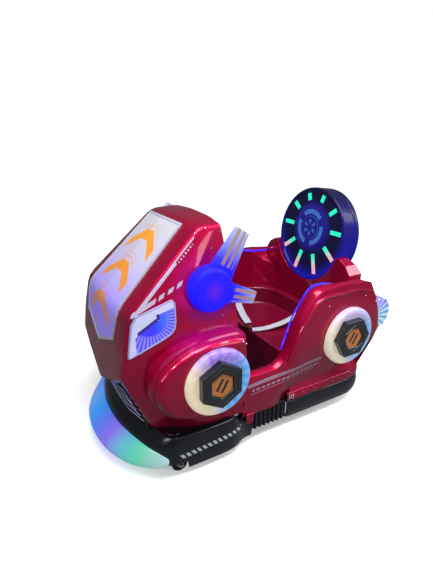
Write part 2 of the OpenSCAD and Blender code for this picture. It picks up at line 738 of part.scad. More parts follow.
// Each station: outer and inner plan point, rim height, inset at foot and rim, turn to the tail
tub_half = concat(
    [
        [[sill_front_x, sill_y], [sill_front_x, tub_in_y], sill_z, 12, 4, 0],
        [[-30, sill_y + 2], [-30, tub_in_y], sill_z + 2, 14, 4, 0],
        [[-82, sill_y + 6], [-78, tub_in_y], sill_z + 62, 48, 5, 0],
        [[-138, tub_y], [-132, tub_in_y], rim_z - 136, 64, 6, 0],
        [[-232, tub_y], [-224, tub_in_y], rim_z - 6, 64, 12, 0],
        [[-400, tub_y], [-290, tub_in_y], rim_z, 64, 14, 0]
    ],
    [for (a = [0 : 22.5 : 90]) [
        corner_out + [(corner_out.x - tub_rear_x) * -sin(a), (tub_y - corner_out.y) * cos(a)],
        corner_in + [-130 * sin(a), 130 * cos(a)],
        rim_z - 14 - 84 * sin(a), 138 + 4 * sin(a), 56 + 90 * sin(a), a
    ]],
    [[[tub_rear_x - 6, 0], [tub_back_x, 0], rim_z - 98, 142, 146, 90]]
);
function tub_ring(s) =
    let (o = [s[0].x, s[0].y, 0], i = [s[1].x, s[1].y, 0], inward = [sin(s[5]), -cos(s[5]), 0], top = s[2])
    let (belt = mix(tub_low, top, 0.52))
    soften_loop([
        i + [0, 0, tub_low], i + [0, 0, top], o + inward * s[4] + [0, 0, top],
        o + [0, 0, belt], o + inward * s[3] + [0, 0, tub_low]
    ], [3, 16, s[4] > 20 ? 120 : 42, 90, 3]);
tub_rings = transposed([
    for (line = transposed(concat(
        [for (s = tub_half) tub_ring(s)],
        [for (k = [len(tub_half) - 2 : -1 : 0]) [for (p = tub_ring(tub_half[k])) flip_y(p)]]
    ))) soften(line, 40)
]);
cradle_y = tub_in_y - 1;
cradle_web = 39;
cradle_low = disc_z - disc_r - cradle_web;
cradle_rear_x = tub_back_x - 86;
disc_room = 3;
module cradle_block(gap) {
    translate([cradle_rear_x - gap, -cradle_y - gap, cradle_low - gap])
        cube([tub_back_x - cradle_rear_x + gap + 5, 2 * (cradle_y + gap), 400]);
}
module tub_whole() {
    difference() {
        loft(tub_rings);
        cradle_block(seat_gap);
        disc_hole(disc_room);
        for (s = [0, 1]) mirror([0, s, 0]) {
            tail_prism(seat_gap);
            translate([rear_ring_x, tub_y - rear_sink, rear_ring_z]) rotate([-90, 0, 0])
                cylinder(r = plug_r + seat_gap, h = rear_sink + 10);
        }
    }
}
module tub_part(left, x_low, x_high) {
    color([0.58, 0.02, 0.16]) both(left) intersection() {
        tub_whole();
        translate([x_low, seat_gap / 2, 0]) cube([x_high - x_low, tub_y + 10, rim_z + 10]);
    }
}
module tub_side_left() { tub_part(true, tub_seam_x + seat_gap / 2, sill_front_x + 1); }
module tub_side_right() { tub_part(false, tub_seam_x + seat_gap / 2, sill_front_x + 1); }
module tub_tail_left() { tub_part(true, tub_rear_x - 20, tub_seam_x - seat_gap / 2); }
module tub_tail_right() { tub_part(false, tub_rear_x - 20, tub_seam_x - seat_gap / 2); }

// Seat moulding: pan, front riser and a backrest with a ledge that follows the tub
seat_front_x = -105;
seat_wall = 16;
module seat() {
    w = tub_in_y - 3;
    r = 150;
    path = [
        [seat_front_x - 75, w],
        each [for (a = [0 : 22.5 : 90]) [tub_back_x + 3 + r - r * sin(a), w - r + r * cos(a)]]
    ];
    outline = concat(path, [for (i = [len(path) - 1 : -1 : 0]) [path[i].x, -path[i].y]]);
    front = [[seat_front_x, w], [seat_front_x, -w]];
    inner = function (d) [for (p = path) [p.x + d, p.y - d * (p.y > w - 100 ? 1 : p.y / w)]];
    low = inner(46);
    color([0.5, 0.02, 0.14]) {
        translate([0, 0, seat_z - seat_wall]) linear_extrude(seat_wall)
            polygon(concat([front[0]], outline, [front[1]]));
        translate([0, 0, seat_z - 1]) linear_extrude(ledge_z - seat_z + 1)
            polygon(concat(path, [for (i = [len(path) - 1 : -1 : 0]) [path[i].x, -path[i].y]],
                [for (i = [0 : len(low) - 1]) [low[i].x, -low[i].y]],
                [for (i = [len(low) - 1 : -1 : 0]) low[i]]));
        translate([seat_front_x - seat_wall, -floor_edge + 6, floor_top + seat_gap])
            cube([seat_wall, 2 * floor_edge - 12, seat_z - floor_top - 1]);
    }
}

// Light strips along the inner edge of the rim
strip_r = 5;
module led_strip() {
    edge = [for (k = [2 : 6]) [tub_half[k][1].x, tub_half[k][1].y, tub_half[k][2]]];
    line = soften(edge, 40, 3);
    loft([
        for (p = line) [for (a = [0 : 60 : 300])
            p + [0, -strip_r * cos(a) - 3, strip_r * sin(a) - 1]]
    ]);
}
module led_strips() {
    color("blue") intersection() {
        union() {
            led_strip();
            mirror([0, 1, 0]) led_strip();
        }
        translate([corner_in.x + 20, -600, 0]) cube([600, 1200, 1000]);
    }
}

// Headrest disc leaning back in a cradle with two ears
module leaning() {
    translate([disc_x, 0, disc_z]) rotate([0, -disc_lean, 0]) children();
}
module disc_turned(profile) {
    rotate([0, -90, 0]) rotate_extrude($fn = 96) polygon(profile);
}
module disc_hole(gap) {
    leaning() rotate([0, -90, 0]) translate([0, 0, -disc_t])
        cylinder(r = disc_r + gap, h = 3 * disc_t, $fn = 96);
}
ear_top = 806;
ear_depth = 62;
module disc_cradle() {
    half = [
        [cradle_y, cradle_low], [cradle_y, rim_z + 2], [cradle_y - 7, rim_z + 10],
        [cradle_y - 32, rim_z + 44], [cradle_y - 78, ear_top], [cradle_y - 110, ear_top]
    ];
    side = [
        [tub_back_x, cradle_low], [tub_back_x, ear_top], [tub_back_x - ear_depth, ear_top],
        [cradle_rear_x, rim_z + 4], [cradle_rear_x, cradle_low]
    ];
    color([0.58, 0.02, 0.16]) difference() {
        intersection() {
            translate([cradle_rear_x, 0, 0]) rotate([90, 0, 90]) linear_extrude(tub_back_x - cradle_rear_x)
                polygon(concat(half, [for (i = [len(half) - 1 : -1 : 0]) [-half[i].x, half[i].y]]));
            translate([0, tub_in_y, 0]) rotate([90, 0, 0]) linear_extrude(2 * tub_in_y) polygon(side);
        }
        disc_hole(seat_gap);
    }
}
// The hub sits above the disc's centre, so the lower bars are the longer ones
hub_rise = 38;
hub_face_r = 106;
hub_base_r = 140;
dish = 10;
module headrest_disc() {
    lip = 10;
    color("navy") leaning() {
        disc_turned([
            [0, dish], [disc_r - 24, dish], [disc_r - 18, 0], [disc_r - 6, 0], [disc_r, 6],
            [disc_r, disc_t * 0.62], [disc_r - 4, disc_t * 0.65], [disc_r - 4, disc_t * 0.7],
            [disc_r, disc_t * 0.73], [disc_r, disc_t - lip], [disc_r - lip, disc_t],
            [120, disc_t], [110, disc_t + 6], [0, disc_t + 6]
        ]);
        translate([0, 0, hub_rise]) disc_turned([
            [0, -6], [58, -6], [62, -3], [hub_face_r, -3], [hub_face_r + 6, 0], [hub_base_r, dish + 1],
            [0, dish + 1]
        ]);
    }
}
bar_w = 22;
bar_out_r = disc_r - 29;
module disc_bars() {
    start = hub_base_r + 8;
    color("turquoise") leaning() translate([0, 0, hub_rise]) for (k = [0 : bar_count - 1]) {
        a = 360 / bar_count * (k + 0.5);
        end = sqrt(pow(bar_out_r, 2) - pow(hub_rise * sin(a), 2)) - hub_rise * cos(a);
        rotate([a, 0, 0]) translate([-dish + seat_gap, -bar_w / 2, start]) cube([6, bar_w, end - start]);
    }
}

// Tail lamps at the rear corners
tail_root_x = -640;
tail_face_x = -700;
tail_y = 350;
tail_z = 512;
tail_r = 84;
tail_w = 80;
module tail_prism(grow) {
    r = tail_r + grow;
    translate([0, tail_y + tail_w / 2 + grow, 0]) rotate([90, 0, 0]) linear_extrude(tail_w + 2 * grow)
    polygon([
        [tail_root_x + grow, tail_z - r],
        for (a = [-80 : 20 : 80])
            [tail_face_x - (tail_out + grow) * cos(a), tail_z + r * sin(a)],
        [tail_root_x + grow, tail_z + r]
    ]);
}
module tail_lamp(left) {
    color("lightblue", 0.8) both(left) tail_prism(0);
}
module tail_lamp_left() { tail_lamp(true); }
module tail_lamp_right() { tail_lamp(false); }

// Dash that closes the cowl towards the driver, with the steering column on it
dash_x = 226;
dash_t = 14;
dash_low_z = 520;
module dash_panel() {
    color([0.1, 0.11, 0.14]) intersection() {
        translate([dash_x, -400, dash_low_z]) cube([dash_t, 800, panel_top_z - 30 - dash_low_z]);
        union() {
            for (s = [0, 1]) mirror([0, s, 0]) cheek_block(-cowl_t - 3 * seat_gap);
            translate([0, -cheek_back_y - 1, 0]) cube([600, 2 * cheek_back_y + 2, 1200]);
        }
    }
}
// Along the column from the wheel's centre towards the nose
module on_column() {
    translate([steer_x, 0, steer_z]) rotate([0, 90 + steer_rake, 0]) children();
}
column_start = 40;
module steering_column() {
    reach = (dash_x - steer_x) / cos(steer_rake) + 40;
    color("dimgray") difference() {
        on_column() {
            translate([0, 0, column_start]) cylinder(r = 24, h = reach - column_start);
            translate([0, 0, -22]) cylinder(r = steer_shaft_r, h = column_start + 30);
        }
        translate([dash_x - seat_gap, -100, 0]) cube([300, 200, 1200]);
    }
}
module steering_wheel() {
    hub = 34;
    color([0.1, 0.1, 0.11]) on_column() difference() {
        union() {
            rotate_extrude() translate([steer_r, 0]) circle(r = rim_d / 2);
            translate([0, 0, -14]) cylinder(r = hub, h = 46);
            for (a = [0, 120, 240]) rotate([0, 0, a]) translate([0, -13, -6]) cube([steer_r, 26, 10]);
        }
        translate([0, 0, -30]) cylinder(r = steer_shaft_r + run_gap, h = 80);
    }
}

// Pedal on the floor plate
pedal_x = 330;
pedal_y = -90;
pedal_w = 70;
module pedal() {
    side = [[-60, 0], [60, 0], [60, 8], [20, 12], [68, 74], [58, 80], [0, 12], [-60, 8]];
    color("darkgray") translate([pedal_x, pedal_y + pedal_w / 2, floor_top + seat_gap])
        rotate([90, 0, 0]) linear_extrude(pedal_w) polygon(side);
}

// Lap belt: two webbing straps that meet in a buckle on the seat
belt_w = 40;
belt_t = 3;
belt_right = [[-206, -292, 512], [-200, -262, 500], [-190, -210, 440], [-165, -120, 414], [-140, -30, 411]];
belt_left = [[-112, 52, 411], [-170, 78, 413], [-270, 96, 428], [-368, 112, 462], [-424, 120, 512]];
module strap(points) {
    line = soften(points, 40);
    g = [
        for (k = [0 : len(line) - 1])
            let (t = unit(line[min(k + 1, len(line) - 1)] - line[max(k - 1, 0)]))
            let (across = unit(cross([0, 0, 1], t)) * belt_w / 2)
            [line[k] - across, line[k] + across]
    ];
    between(g, pushed(g, -belt_t));
}
module seat_belt() {
    color("gainsboro") {
        strap(belt_right);
        strap(belt_left);
    }
}
module belt_buckle() {
    color("black") translate([-126, 10, seat_z + seat_gap]) rotate([0, 0, 22]) translate([-22, -38, 0]) {
        cube([44, 76, 5]);
    }
}

chassis_frame();
floor_pan();
battery();
drive_unit_left();
drive_unit_right();
rear_wheel_left();
rear_wheel_right();
caster_fork_left();
caster_fork_right();
caster_wheel_left();
caster_wheel_right();
bumper_front();
bumper_rear();
rear_skirt();
grip_left();
grip_right();
nose_lamp();
front_cowl();
light_panel();
chin_grille();
headlight_left();
headlight_right();
fender_left();
fender_right();
ear_lamp_left();
ear_lamp_right();
front_ring_left();
front_ring_right();
rear_ring_left();
rear_ring_right();
front_hex_left();
front_hex_right();
rear_hex_left();
rear_hex_right();
tub_side_left();
tub_side_right();
tub_tail_left();
tub_tail_right();
seat();
led_strips();
disc_cradle();
headrest_disc();
disc_bars();
tail_lamp_left();
tail_lamp_right();
dash_panel();
steering_column();
steering_wheel();
pedal();
seat_belt();
belt_buckle();
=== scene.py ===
"""Dresses the children's bumper car: shells, lamps, cockpit, running gear, fasteners, stage and camera."""

import logging
import math
from dataclasses import dataclass, field
from enum import Enum
from typing import Callable, ClassVar, Iterable, Optional, Sequence, Union

import bmesh
import bpy
from mathutils import Matrix, Vector
from mathutils.bvhtree import BVHTree


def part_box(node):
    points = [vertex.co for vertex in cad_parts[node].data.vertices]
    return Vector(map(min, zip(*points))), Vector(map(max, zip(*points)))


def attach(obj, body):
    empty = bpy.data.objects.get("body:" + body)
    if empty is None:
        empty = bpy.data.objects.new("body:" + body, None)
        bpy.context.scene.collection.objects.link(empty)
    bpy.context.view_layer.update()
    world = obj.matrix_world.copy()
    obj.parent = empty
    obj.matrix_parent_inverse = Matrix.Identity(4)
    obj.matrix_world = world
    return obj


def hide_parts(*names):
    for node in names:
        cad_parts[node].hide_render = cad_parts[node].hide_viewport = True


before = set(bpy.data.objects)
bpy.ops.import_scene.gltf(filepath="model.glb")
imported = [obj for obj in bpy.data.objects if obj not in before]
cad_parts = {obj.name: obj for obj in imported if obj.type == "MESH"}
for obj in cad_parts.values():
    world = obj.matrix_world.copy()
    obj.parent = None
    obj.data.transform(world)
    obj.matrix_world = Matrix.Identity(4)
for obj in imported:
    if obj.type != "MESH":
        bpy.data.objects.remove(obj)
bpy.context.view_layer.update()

log = logging.getLogger("bumper_car")
Rgba = tuple[float, float, float, float]
Pair = tuple[float, float]
Point = tuple[float, float, float]
Hit = Optional[tuple[Vector, Vector]]
# Metres in a millimetre, where rays start in millimetres, and degrees in a radian
MM = 0.001
FAR = 900.0
DEGREES = 57.3
BLACK: Rgba = (0.0, 0.0, 0.0, 1.0)
WHITE: Rgba = (1.0, 1.0, 1.0, 1.0)
# Degrees within which a lamp's faces join to one
NEARLY_FLAT = 1.5
CAR = "car_body"
AHEAD, BACK = Vector((1, 0, 0)), Vector((-1, 0, 0))
ASIDE, UP = Vector((0, 1, 0)), Vector((0, 0, 1))


def srgb(*screen: int) -> Rgba:
    """Linear colour of an 8-bit screen colour."""
    linear = (c / 255 / 12.92 if c <= 10 else ((c / 255 + 0.055) / 1.055) ** 2.4 for c in screen)
    return (*linear, 1.0)


class Side(Enum):
    """The two sides of the car, with the sign of Y."""

    LEFT = 1
    RIGHT = -1

    @property
    def tag(self) -> str:
        """The side as node names write it."""
        return self.name.lower()

    def at(self, x: float, y: float, z: float) -> Vector:
        """A point whose Y counts outwards on this side."""
        return Vector((x, self.value * y, z))


TUB = [f"tub_{part}_{side.tag}" for part in ("side", "tail") for side in Side]


def arithmetic(operation: str, swapped: bool = False) -> Callable[["Sock", "Number"], "Sock"]:
    """An arithmetic method for sockets.

    Args:
        operation: The Math node's operation.
        swapped: Whether the socket comes second.

    Returns:
        The method, which adds one Math node.
    """

    def method(self: "Sock", other: "Number" = 0.0) -> "Sock":
        """One Math node of the socket and another value."""
        return self.graph.math(operation, *((other, self) if swapped else (self, other)))

    return method


class Sock:
    """A shader socket that takes part in arithmetic."""

    __add__, __radd__ = arithmetic("ADD"), arithmetic("ADD", True)
    __sub__, __rsub__ = arithmetic("SUBTRACT"), arithmetic("SUBTRACT", True)
    __mul__, __rmul__ = arithmetic("MULTIPLY"), arithmetic("MULTIPLY", True)
    __truediv__, __abs__ = arithmetic("DIVIDE"), arithmetic("ABSOLUTE")

    def __init__(self, graph: "Graph", socket: bpy.types.NodeSocket) -> None:
        """One output socket of a graph."""
        self.graph = graph
        self.socket = socket

    def __neg__(self) -> "Sock":
        """The value with its sign turned."""
        return self * -1.0

    def wrapped(self, pitch: float) -> "Sock":
        """The value's place in a row of this pitch, from 0 to pitch."""
        return self.graph.math("FLOORED_MODULO", self, pitch)

    def up(self, edge: float, soft: float) -> "Sock":
        """0 below edge and 1 above it, blended over 2 soft."""
        return self.graph.step(self, edge - soft, edge + soft)

    def down(self, edge: float, soft: float) -> "Sock":
        """1 below edge and 0 above it, blended over 2 soft."""
        return self.graph.step(self, edge + soft, edge - soft)

    def within(self, low: float, high: float, soft: float) -> "Sock":
        """1 between low and high."""
        return self.up(low, soft) * self.down(high, soft)


Number = Union[Sock, float]
Axes = tuple[Sock, Sock, Sock]


class Graph:
    """Node tree of one material, with a Principled shader at its end, or of a world."""

    def __init__(self, name: str) -> None:
        """The tree of a new material.

        Args:
            name: The material's name.
        """
        self.material = bpy.data.materials.new(name)
        self.material.use_nodes = True
        self.tree = self.material.node_tree
        self.tree.nodes.clear()
        self.bsdf = self.add("ShaderNodeBsdfPrincipled")
        output = self.add("ShaderNodeOutputMaterial")
        self.tree.links.new(self.bsdf.outputs["BSDF"], output.inputs["Surface"])

    @classmethod
    def of_tree(cls, tree: bpy.types.NodeTree) -> "Graph":
        """A graph that adds to a tree that is there.

        Args:
            tree: The tree.

        Returns:
            The graph.
        """
        graph = cls.__new__(cls)
        graph.tree = tree
        return graph

    def add(
        self, kind: str, settings: Optional[dict] = None, inputs: Optional[dict] = None,
    ) -> bpy.types.Node:
        """Adds one node.

        Args:
            kind: The node's type name.
            settings: Properties set before the inputs.
            inputs: Values or sockets by input name or index.

        Returns:
            The node.
        """
        node = self.tree.nodes.new(kind)
        for key, value in (settings or {}).items():
            setattr(node, key, value)
        for key, value in (inputs or {}).items():
            self.feed(node.inputs[key], value)
        return node

    def feed(self, socket: bpy.types.NodeSocket, value: object) -> None:
        """Links a socket to a Sock, or sets its constant.

        Args:
            socket: The input.
            value: The Sock or the constant.
        """
        if isinstance(value, Sock):
            self.tree.links.new(value.socket, socket)
        else:
            socket.default_value = value

    def surface(self, inputs: dict[str, object]) -> None:
        """Feeds inputs of the Principled shader."""
        for key, value in inputs.items():
            self.feed(self.bsdf.inputs[key], value)

    def out(self, node: bpy.types.Node, key: Union[str, int] = 0) -> Sock:
        """One output of a node as a Sock."""
        return Sock(self, node.outputs[key])

    def math(self, operation: str, a: Number, b: Number = 0.0) -> Sock:
        """One Math node."""
        return self.out(self.add("ShaderNodeMath", {"operation": operation}, {0: a, 1: b}))

    def most(self, *values: Sock) -> Sock:
        """The largest of several values.

        Args:
            values: The values.

        Returns:
            The largest one.
        """
        top = values[0]
        for value in values[1:]:
            top = self.math("MAXIMUM", top, value)
        return top

    def away(self, u: Sock, v: Sock) -> Sock:
        """Distance of the point (u, v) from the origin."""
        return self.math("SQRT", u * u + v * v)

    def turn(self, v: Sock, u: Sock) -> Sock:
        """Angle of the point (u, v), in degrees."""
        return self.math("ARCTAN2", v, u) * DEGREES

    def step(self, x: Sock, low: float, high: float) -> Sock:
        """Smooth step from 0 at low to 1 at high."""
        return self.out(self.add(
            "ShaderNodeMapRange", {"interpolation_type": "SMOOTHSTEP"},
            {"Value": x, "From Min": low, "From Max": high},
        ))

    def mix(self, factor: Number, a: object, b: object) -> Sock:
        """Colour a at factor 0 and b at factor 1."""
        return self.out(self.add("ShaderNodeMix", {"data_type": "RGBA"}, {"Factor": factor, 6: a, 7: b}), 2)

    def point(self) -> Sock:
        """Object coordinates in millimetres."""
        place = self.out(self.add("ShaderNodeTexCoord"), "Object")
        return self.out(self.add("ShaderNodeVectorMath", {"operation": "SCALE"}, {0: place, "Scale": 1 / MM}))

    def axes(self) -> Axes:
        """Object coordinates X, Y and Z in millimetres."""
        node = self.add("ShaderNodeSeparateXYZ", None, {0: self.point()})
        return self.out(node, 0), self.out(node, 1), self.out(node, 2)

    def noise(self, size: float, detail: float = 3.0) -> Sock:
        """Noise with cells of about this size in millimetres, 0 to 1."""
        inputs = {"Vector": self.point(), "Scale": 1.0 / size, "Detail": detail}
        return self.out(self.add("ShaderNodeTexNoise", None, inputs))

    def cells(self, size: float) -> Sock:
        """Random value of cells of this size in millimetres, 0 to 1."""
        node = self.add("ShaderNodeTexVoronoi", None, {"Vector": self.point(), "Scale": 1.0 / size})
        return self.out(self.add("ShaderNodeSeparateXYZ", None, {0: self.out(node, "Color")}))

    def ramp(self, x: Sock, *stops: Sequence) -> Sock:
        """Colour along a ramp.

        Args:
            x: The place on the ramp, 0 to 1.
            stops: Places, each with an 8-bit screen colour or with one linear colour.

        Returns:
            The colour.
        """
        node = self.add("ShaderNodeValToRGB", None, {0: x})
        elements = node.color_ramp.elements
        elements.remove(elements[-1])
        for k, (place, *colour) in enumerate(stops):
            element = elements.new(place) if k else elements[0]
            element.position = place
            element.color = colour[0] if len(colour) == 1 else srgb(*colour)
        return self.out(node)

    def bump(self, height: Sock, distance: float, strength: float = 1.0) -> None:
        """Height from 0 to 1 as a bump of this depth in millimetres on the shader's normal."""
        inputs = {"Height": height, "Distance": distance * MM, "Strength": strength}
        self.surface({"Normal": self.out(self.add("ShaderNodeBump", None, inputs))})

    def slanted(self, u: Sock, v: Sock, origin: Pair, to: Pair) -> tuple[Sock, Sock]:
        """Coordinates in a plane along and across a line.

        Args:
            u: The point's first coordinate.
            v: Its second one.
            origin: Where the line starts.
            to: Another point of the line.

        Returns:
            The place along the line and the place across it.
        """
        run = (Vector(to) - Vector(origin)).normalized()
        du, dv = u - origin[0], v - origin[1]
        return du * run.x + dv * run.y, dv * run.x - du * run.y


Pattern = Callable[[Graph], Sock]


@dataclass(frozen=True)
class Finish:
    """A plain finish: colour with grain, roughness that varies, and a fine bump.

    Sizes are in millimetres. `spread` is how far the roughness varies, `shade` how far the colour does, and
    `shine` the strength of mirror light.
    """

    name: str
    colour: Rgba
    roughness: float
    metallic: float = 0.0
    coat: float = 0.0
    grain: float = 3.0
    depth: float = 0.05
    spread: float = 0.1
    shade: float = 0.15
    shine: float = 0.5
    broad: ClassVar[float] = 40.0
    coat_roughness: ClassVar[float] = 0.04

    def graph(self) -> Graph:
        """The finish's node tree, ready for additions.

        Returns:
            The graph.
        """
        g = Graph(self.name)
        fine, broad = g.noise(self.grain), g.noise(self.grain * self.broad, 4.0)
        dark = tuple(c * (1 - self.shade) for c in self.colour[:3]) + (1.0,)
        light = tuple(min(1.0, c * (1 + self.shade)) for c in self.colour[:3]) + (1.0,)
        g.surface({
            "Base Color": g.mix(broad, dark, light),
            "Roughness": broad * self.spread + (self.roughness - self.spread / 2),
            "Metallic": self.metallic, "Coat Weight": self.coat, "Coat Roughness": self.coat_roughness,
            "Specular IOR Level": self.shine,
        })
        g.bump(fine, self.depth, 0.6)
        return g

    def dress(self, g: Graph) -> None:
        """Adds what a kind of finish has over a plain one."""

    def make(self) -> bpy.types.Material:
        """The finish's material.

        Returns:
            The material.
        """
        g = self.graph()
        self.dress(g)
        return g.material


@dataclass(frozen=True)
class Lens(Finish):
    """A lit translucent lens whose colour comes from a pattern.

    `power` is how bright it is, `body` how much its plastic shows the colour, and `milk` how white it frosts.
    """

    pattern: Optional[Pattern] = None
    power: float = 0.8
    body: float = 0.35
    milk: float = 0.05
    unlit: ClassVar[Rgba] = (0.008, 0.008, 0.014, 1.0)

    def dress(self, g: Graph) -> None:
        """Lets the pattern light the lens and tint its plastic.

        Args:
            g: The graph to add to.
        """
        light = self.pattern(g)
        frost = g.noise(6.0, 2.0)
        g.surface({
            "Base Color": g.mix(frost * 0.2 + self.body, self.unlit, light),
            "Emission Color": g.mix(frost * self.milk, light, WHITE), "Emission Strength": self.power,
        })


@dataclass(frozen=True)
class CandyPaint(Finish):
    """Metallic candy lacquer with flakes under a clear coat, the white side trim, painted shade where it
    turns from view and light from the lamps.
    """

    trim: Rgba = srgb(172, 164, 192)
    # painted shade: the colour that the red darkens to where the lacquer turns away from the view
    shadow: Rgba = srgb(88, 0, 26)
    flake: Rgba = srgb(226, 24, 86)
    tint: Rgba = srgb(236, 120, 150)
    glow: Rgba = srgb(84, 0, 190)
    ear: Pair = (300.0, 818.0)

    def dress(self, g: Graph) -> None:
        """Adds flakes, trim, painted shade where the surface turns from view, and the lamps' light.

        Args:
            g: The graph to add to.
        """
        x, y, z = g.axes()
        at = (x, abs(y), z)
        # painted shade: the red blends to the shadow colour where the surface turns away from the view
        facing = g.out(g.add("ShaderNodeLayerWeight", None, {"Blend": 0.3}), "Facing")
        red = g.mix(facing, self.colour, self.shadow)
        red = g.mix(g.cells(1.6) * 0.16, red, self.flake)
        trim = g.most(self.cheek_trim(g, at), self.sill_trim(g, at))
        g.surface({
            "Base Color": g.mix(trim, red, self.trim), "Metallic": self.metallic * (1.0 - trim),
            "Emission Color": g.mix(self.spill(g, at), BLACK, self.glow), "Emission Strength": 0.5,
            "Specular Tint": self.tint, "Coat IOR": 1.4,
        })

    def spill(self, g: Graph, at: Axes) -> Sock:
        """Light on the lacquer round the ear lamps and on the fender's step.

        Args:
            g: The graph to add to.
            at: Place along the car, to the side and up.

        Returns:
            The light, 0 to 1.
        """
        x, y, z = at
        lamp = g.away(x - self.ear[0], z - self.ear[1]).down(135.0, 50.0) * y.up(245.0, 45.0)
        step = z.within(592.0, 652.0, 22.0) * y.within(338.0, 424.0, 26.0) * x.within(190.0, 470.0, 60.0)
        return g.most(lamp * 0.5, step * 0.5)

    @staticmethod
    def cheek_trim(g: Graph, at: Axes) -> Sock:
        """White lines, dots and dashes in a V between the light panel and the headlight.

        Args:
            g: The graph to add to.
            at: Place along the car, to the side and up.

        Returns:
            The trim, 0 to 1.
        """
        x, y, z = at
        soft = 0.9
        along, across = g.slanted(x, z, (631.0, 749.0), (340.0, 1018.0))
        line = along.within(0.0, 276.0, soft) * across.within(0.0, 13.0, soft)
        thin = along.within(0.0, 402.0, soft) * across.within(0.0, 5.0, soft)
        dots = along.within(284.0, 378.0, soft) * across.within(11.0, 18.0, soft)
        dots = dots * along.wrapped(15.5).within(3.0, 10.0, soft)
        run, rise = g.slanted(x, z, (629.0, 746.0), (401.0, 851.0))
        lean = run + rise * 1.2
        band = rise.within(-14.0, 0.0, soft)
        bar = lean.within(-12.0, 108.0, soft) * band * run.up(2.0, soft)
        dash = (lean - 108.0).wrapped(44.0).within(14.0, 40.0, soft) * lean.within(110.0, 236.0, soft) * band
        cheek = (y + (z - 749.0) * 0.146).up(300.5, 0.8) * y.down(345.0, 2.0)
        return g.most(line, thin, dots, bar, dash) * cheek * z.up(735.0, 1.0)

    @staticmethod
    def sill_trim(g: Graph, at: Axes) -> Sock:
        """A hatched band on the sill, with two rows of plain ticks under it.

        Args:
            g: The graph to add to.
            at: Place along the car, to the side and up.

        Returns:
            The trim, 0 to 1.
        """
        x, y, z = at
        run, drop = g.slanted(x, z, (146.0, 326.0), (-312.0, 356.0))
        height = -drop
        hatch = (run + height * 2.2).wrapped(12.0).within(0.0, 6.0, 0.8)
        edge = g.most(hatch, height.down(2.0, 0.5), height.up(14.0, 0.5))
        band = height.within(0.0, 16.0, 0.8) * run.within(0.0, 440.0, 1.0) * edge
        ticks = (run - height * 0.5).wrapped(29.0).within(0.0, 19.0, 0.8) * height.within(-27.0, -17.0, 0.8)
        ticks = ticks * run.within(26.0, 430.0, 1.0)
        fine = run.wrapped(9.0).within(0.0, 5.0, 0.7) * height.within(-42.0, -36.0, 0.7)
        fine = fine * run.within(14.0, 400.0, 1.0)
        return g.most(band, ticks * 0.9, fine * 0.8) * y.up(360.0, 1.0)


@dataclass(frozen=True)
class BumperBlack(Finish):
    """Gloss black shell with a row of slanted white ticks along the sides of the nose."""

    trim: Rgba = srgb(196, 202, 214)
    dark: Rgba = srgb(6, 9, 16)
    light: Rgba = srgb(14, 19, 29)

    def dress(self, g: Graph) -> None:
        """Adds the ticks to a mottled black.

        Args:
            g: The graph to add to.
        """
        x, y, z = g.axes()
        run, height = g.slanted(x, z, (500.0, 128.0), (178.0, 152.0))
        lean = run - height * 0.6
        bars = lean.wrapped(26.0).within(0.0, 15.0, 0.8) * lean.wrapped(104.0).down(92.0, 0.8)
        mask = bars * height.within(0.0, 22.0, 0.8) * run.within(0.0, 318.0, 1.0) * abs(y).up(388.0, 2.0)
        black = g.mix(g.noise(90.0, 4.0), self.dark, self.light)
        g.surface({"Base Color": g.mix(mask, black, self.trim)})


@dataclass(frozen=True)
class TreadRubber(Finish):
    """Rubber with slanted tread grooves round a wheel's axle."""

    centre: Pair = (0.0, 0.0)
    radius: float = 100.0
    pitch: float = 12.0
    middle: float = 262.0

    def dress(self, g: Graph) -> None:
        """Adds the grooves.

        Args:
            g: The graph to add to.
        """
        x, y, z = g.axes()
        dx, dz = x - self.centre[0], z - self.centre[1]
        outer = g.away(dx, dz).up(self.radius - 4.0, 1.5)
        turn = g.math("ARCTAN2", dz, dx) * self.radius
        groove = (turn + abs(y - self.middle) * 0.7).wrapped(self.pitch).within(0.0, 3.5, 0.8) * outer
        g.bump(1.0 - groove + g.noise(2.0) * 0.1, 2.5)


@dataclass(frozen=True)
class Webbing(Finish):
    """Woven strap."""

    pitch: float = 2.4

    def dress(self, g: Graph) -> None:
        """Adds the weave.

        Args:
            g: The graph to add to.
        """
        x, y, _ = g.axes()
        warp, weft = (way.wrapped(self.pitch).within(0.3, 1.5, 0.4) for way in (x + y, x - y))
        g.bump(warp * weft * 0.7 + g.noise(1.0) * 0.3, 0.4)


def ring_glow(cx: float, cz: float, warm: Rgba, top: Rgba, cool: Rgba) -> Pattern:
    """Pattern of a lamp ring.

    Args:
        cx: The ring's centre along the car.
        cz: The ring's centre height.
        warm: Colour on the nose side and below.
        top: Colour at the top.
        cool: Colour on the tail side.

    Returns:
        The pattern.
    """

    def pattern(g: Graph) -> Sock:
        """The ring's colour, with beads.

        Args:
            g: The graph to add to.

        Returns:
            The colour.
        """
        x, _, z = g.axes()
        turn = g.math("ARCTAN2", z - cz, cx - x) / (2 * math.pi) + 0.5
        light = g.ramp(
            turn, (0.0, warm), (0.2, warm), (0.3, cool), (0.55, cool), (0.68, top), (0.8, top), (0.93, warm),
            (1.0, warm),
        )
        beads = (turn * 360.0).wrapped(18.0).within(3.0, 15.0, 4.0)
        return g.mix(beads * 0.16, light, WHITE)

    return pattern


def nose_glow(g: Graph) -> Sock:
    """Crescent: blue at the nose, violet beside it, and mint towards the left end, as a running light.

    Args:
        g: The graph to add to.

    Returns:
        The colour.
    """
    _, y, _ = g.axes()
    return g.ramp(
        (y + 430.0) / 860.0, (0.08, 110, 132, 246), (0.3, 96, 168, 250), (0.44, 20, 150, 250),
        (0.56, 92, 118, 248), (0.66, 138, 112, 246), (0.78, 92, 196, 212), (0.86, 92, 216, 178),
        (1.0, 186, 214, 222),
    )


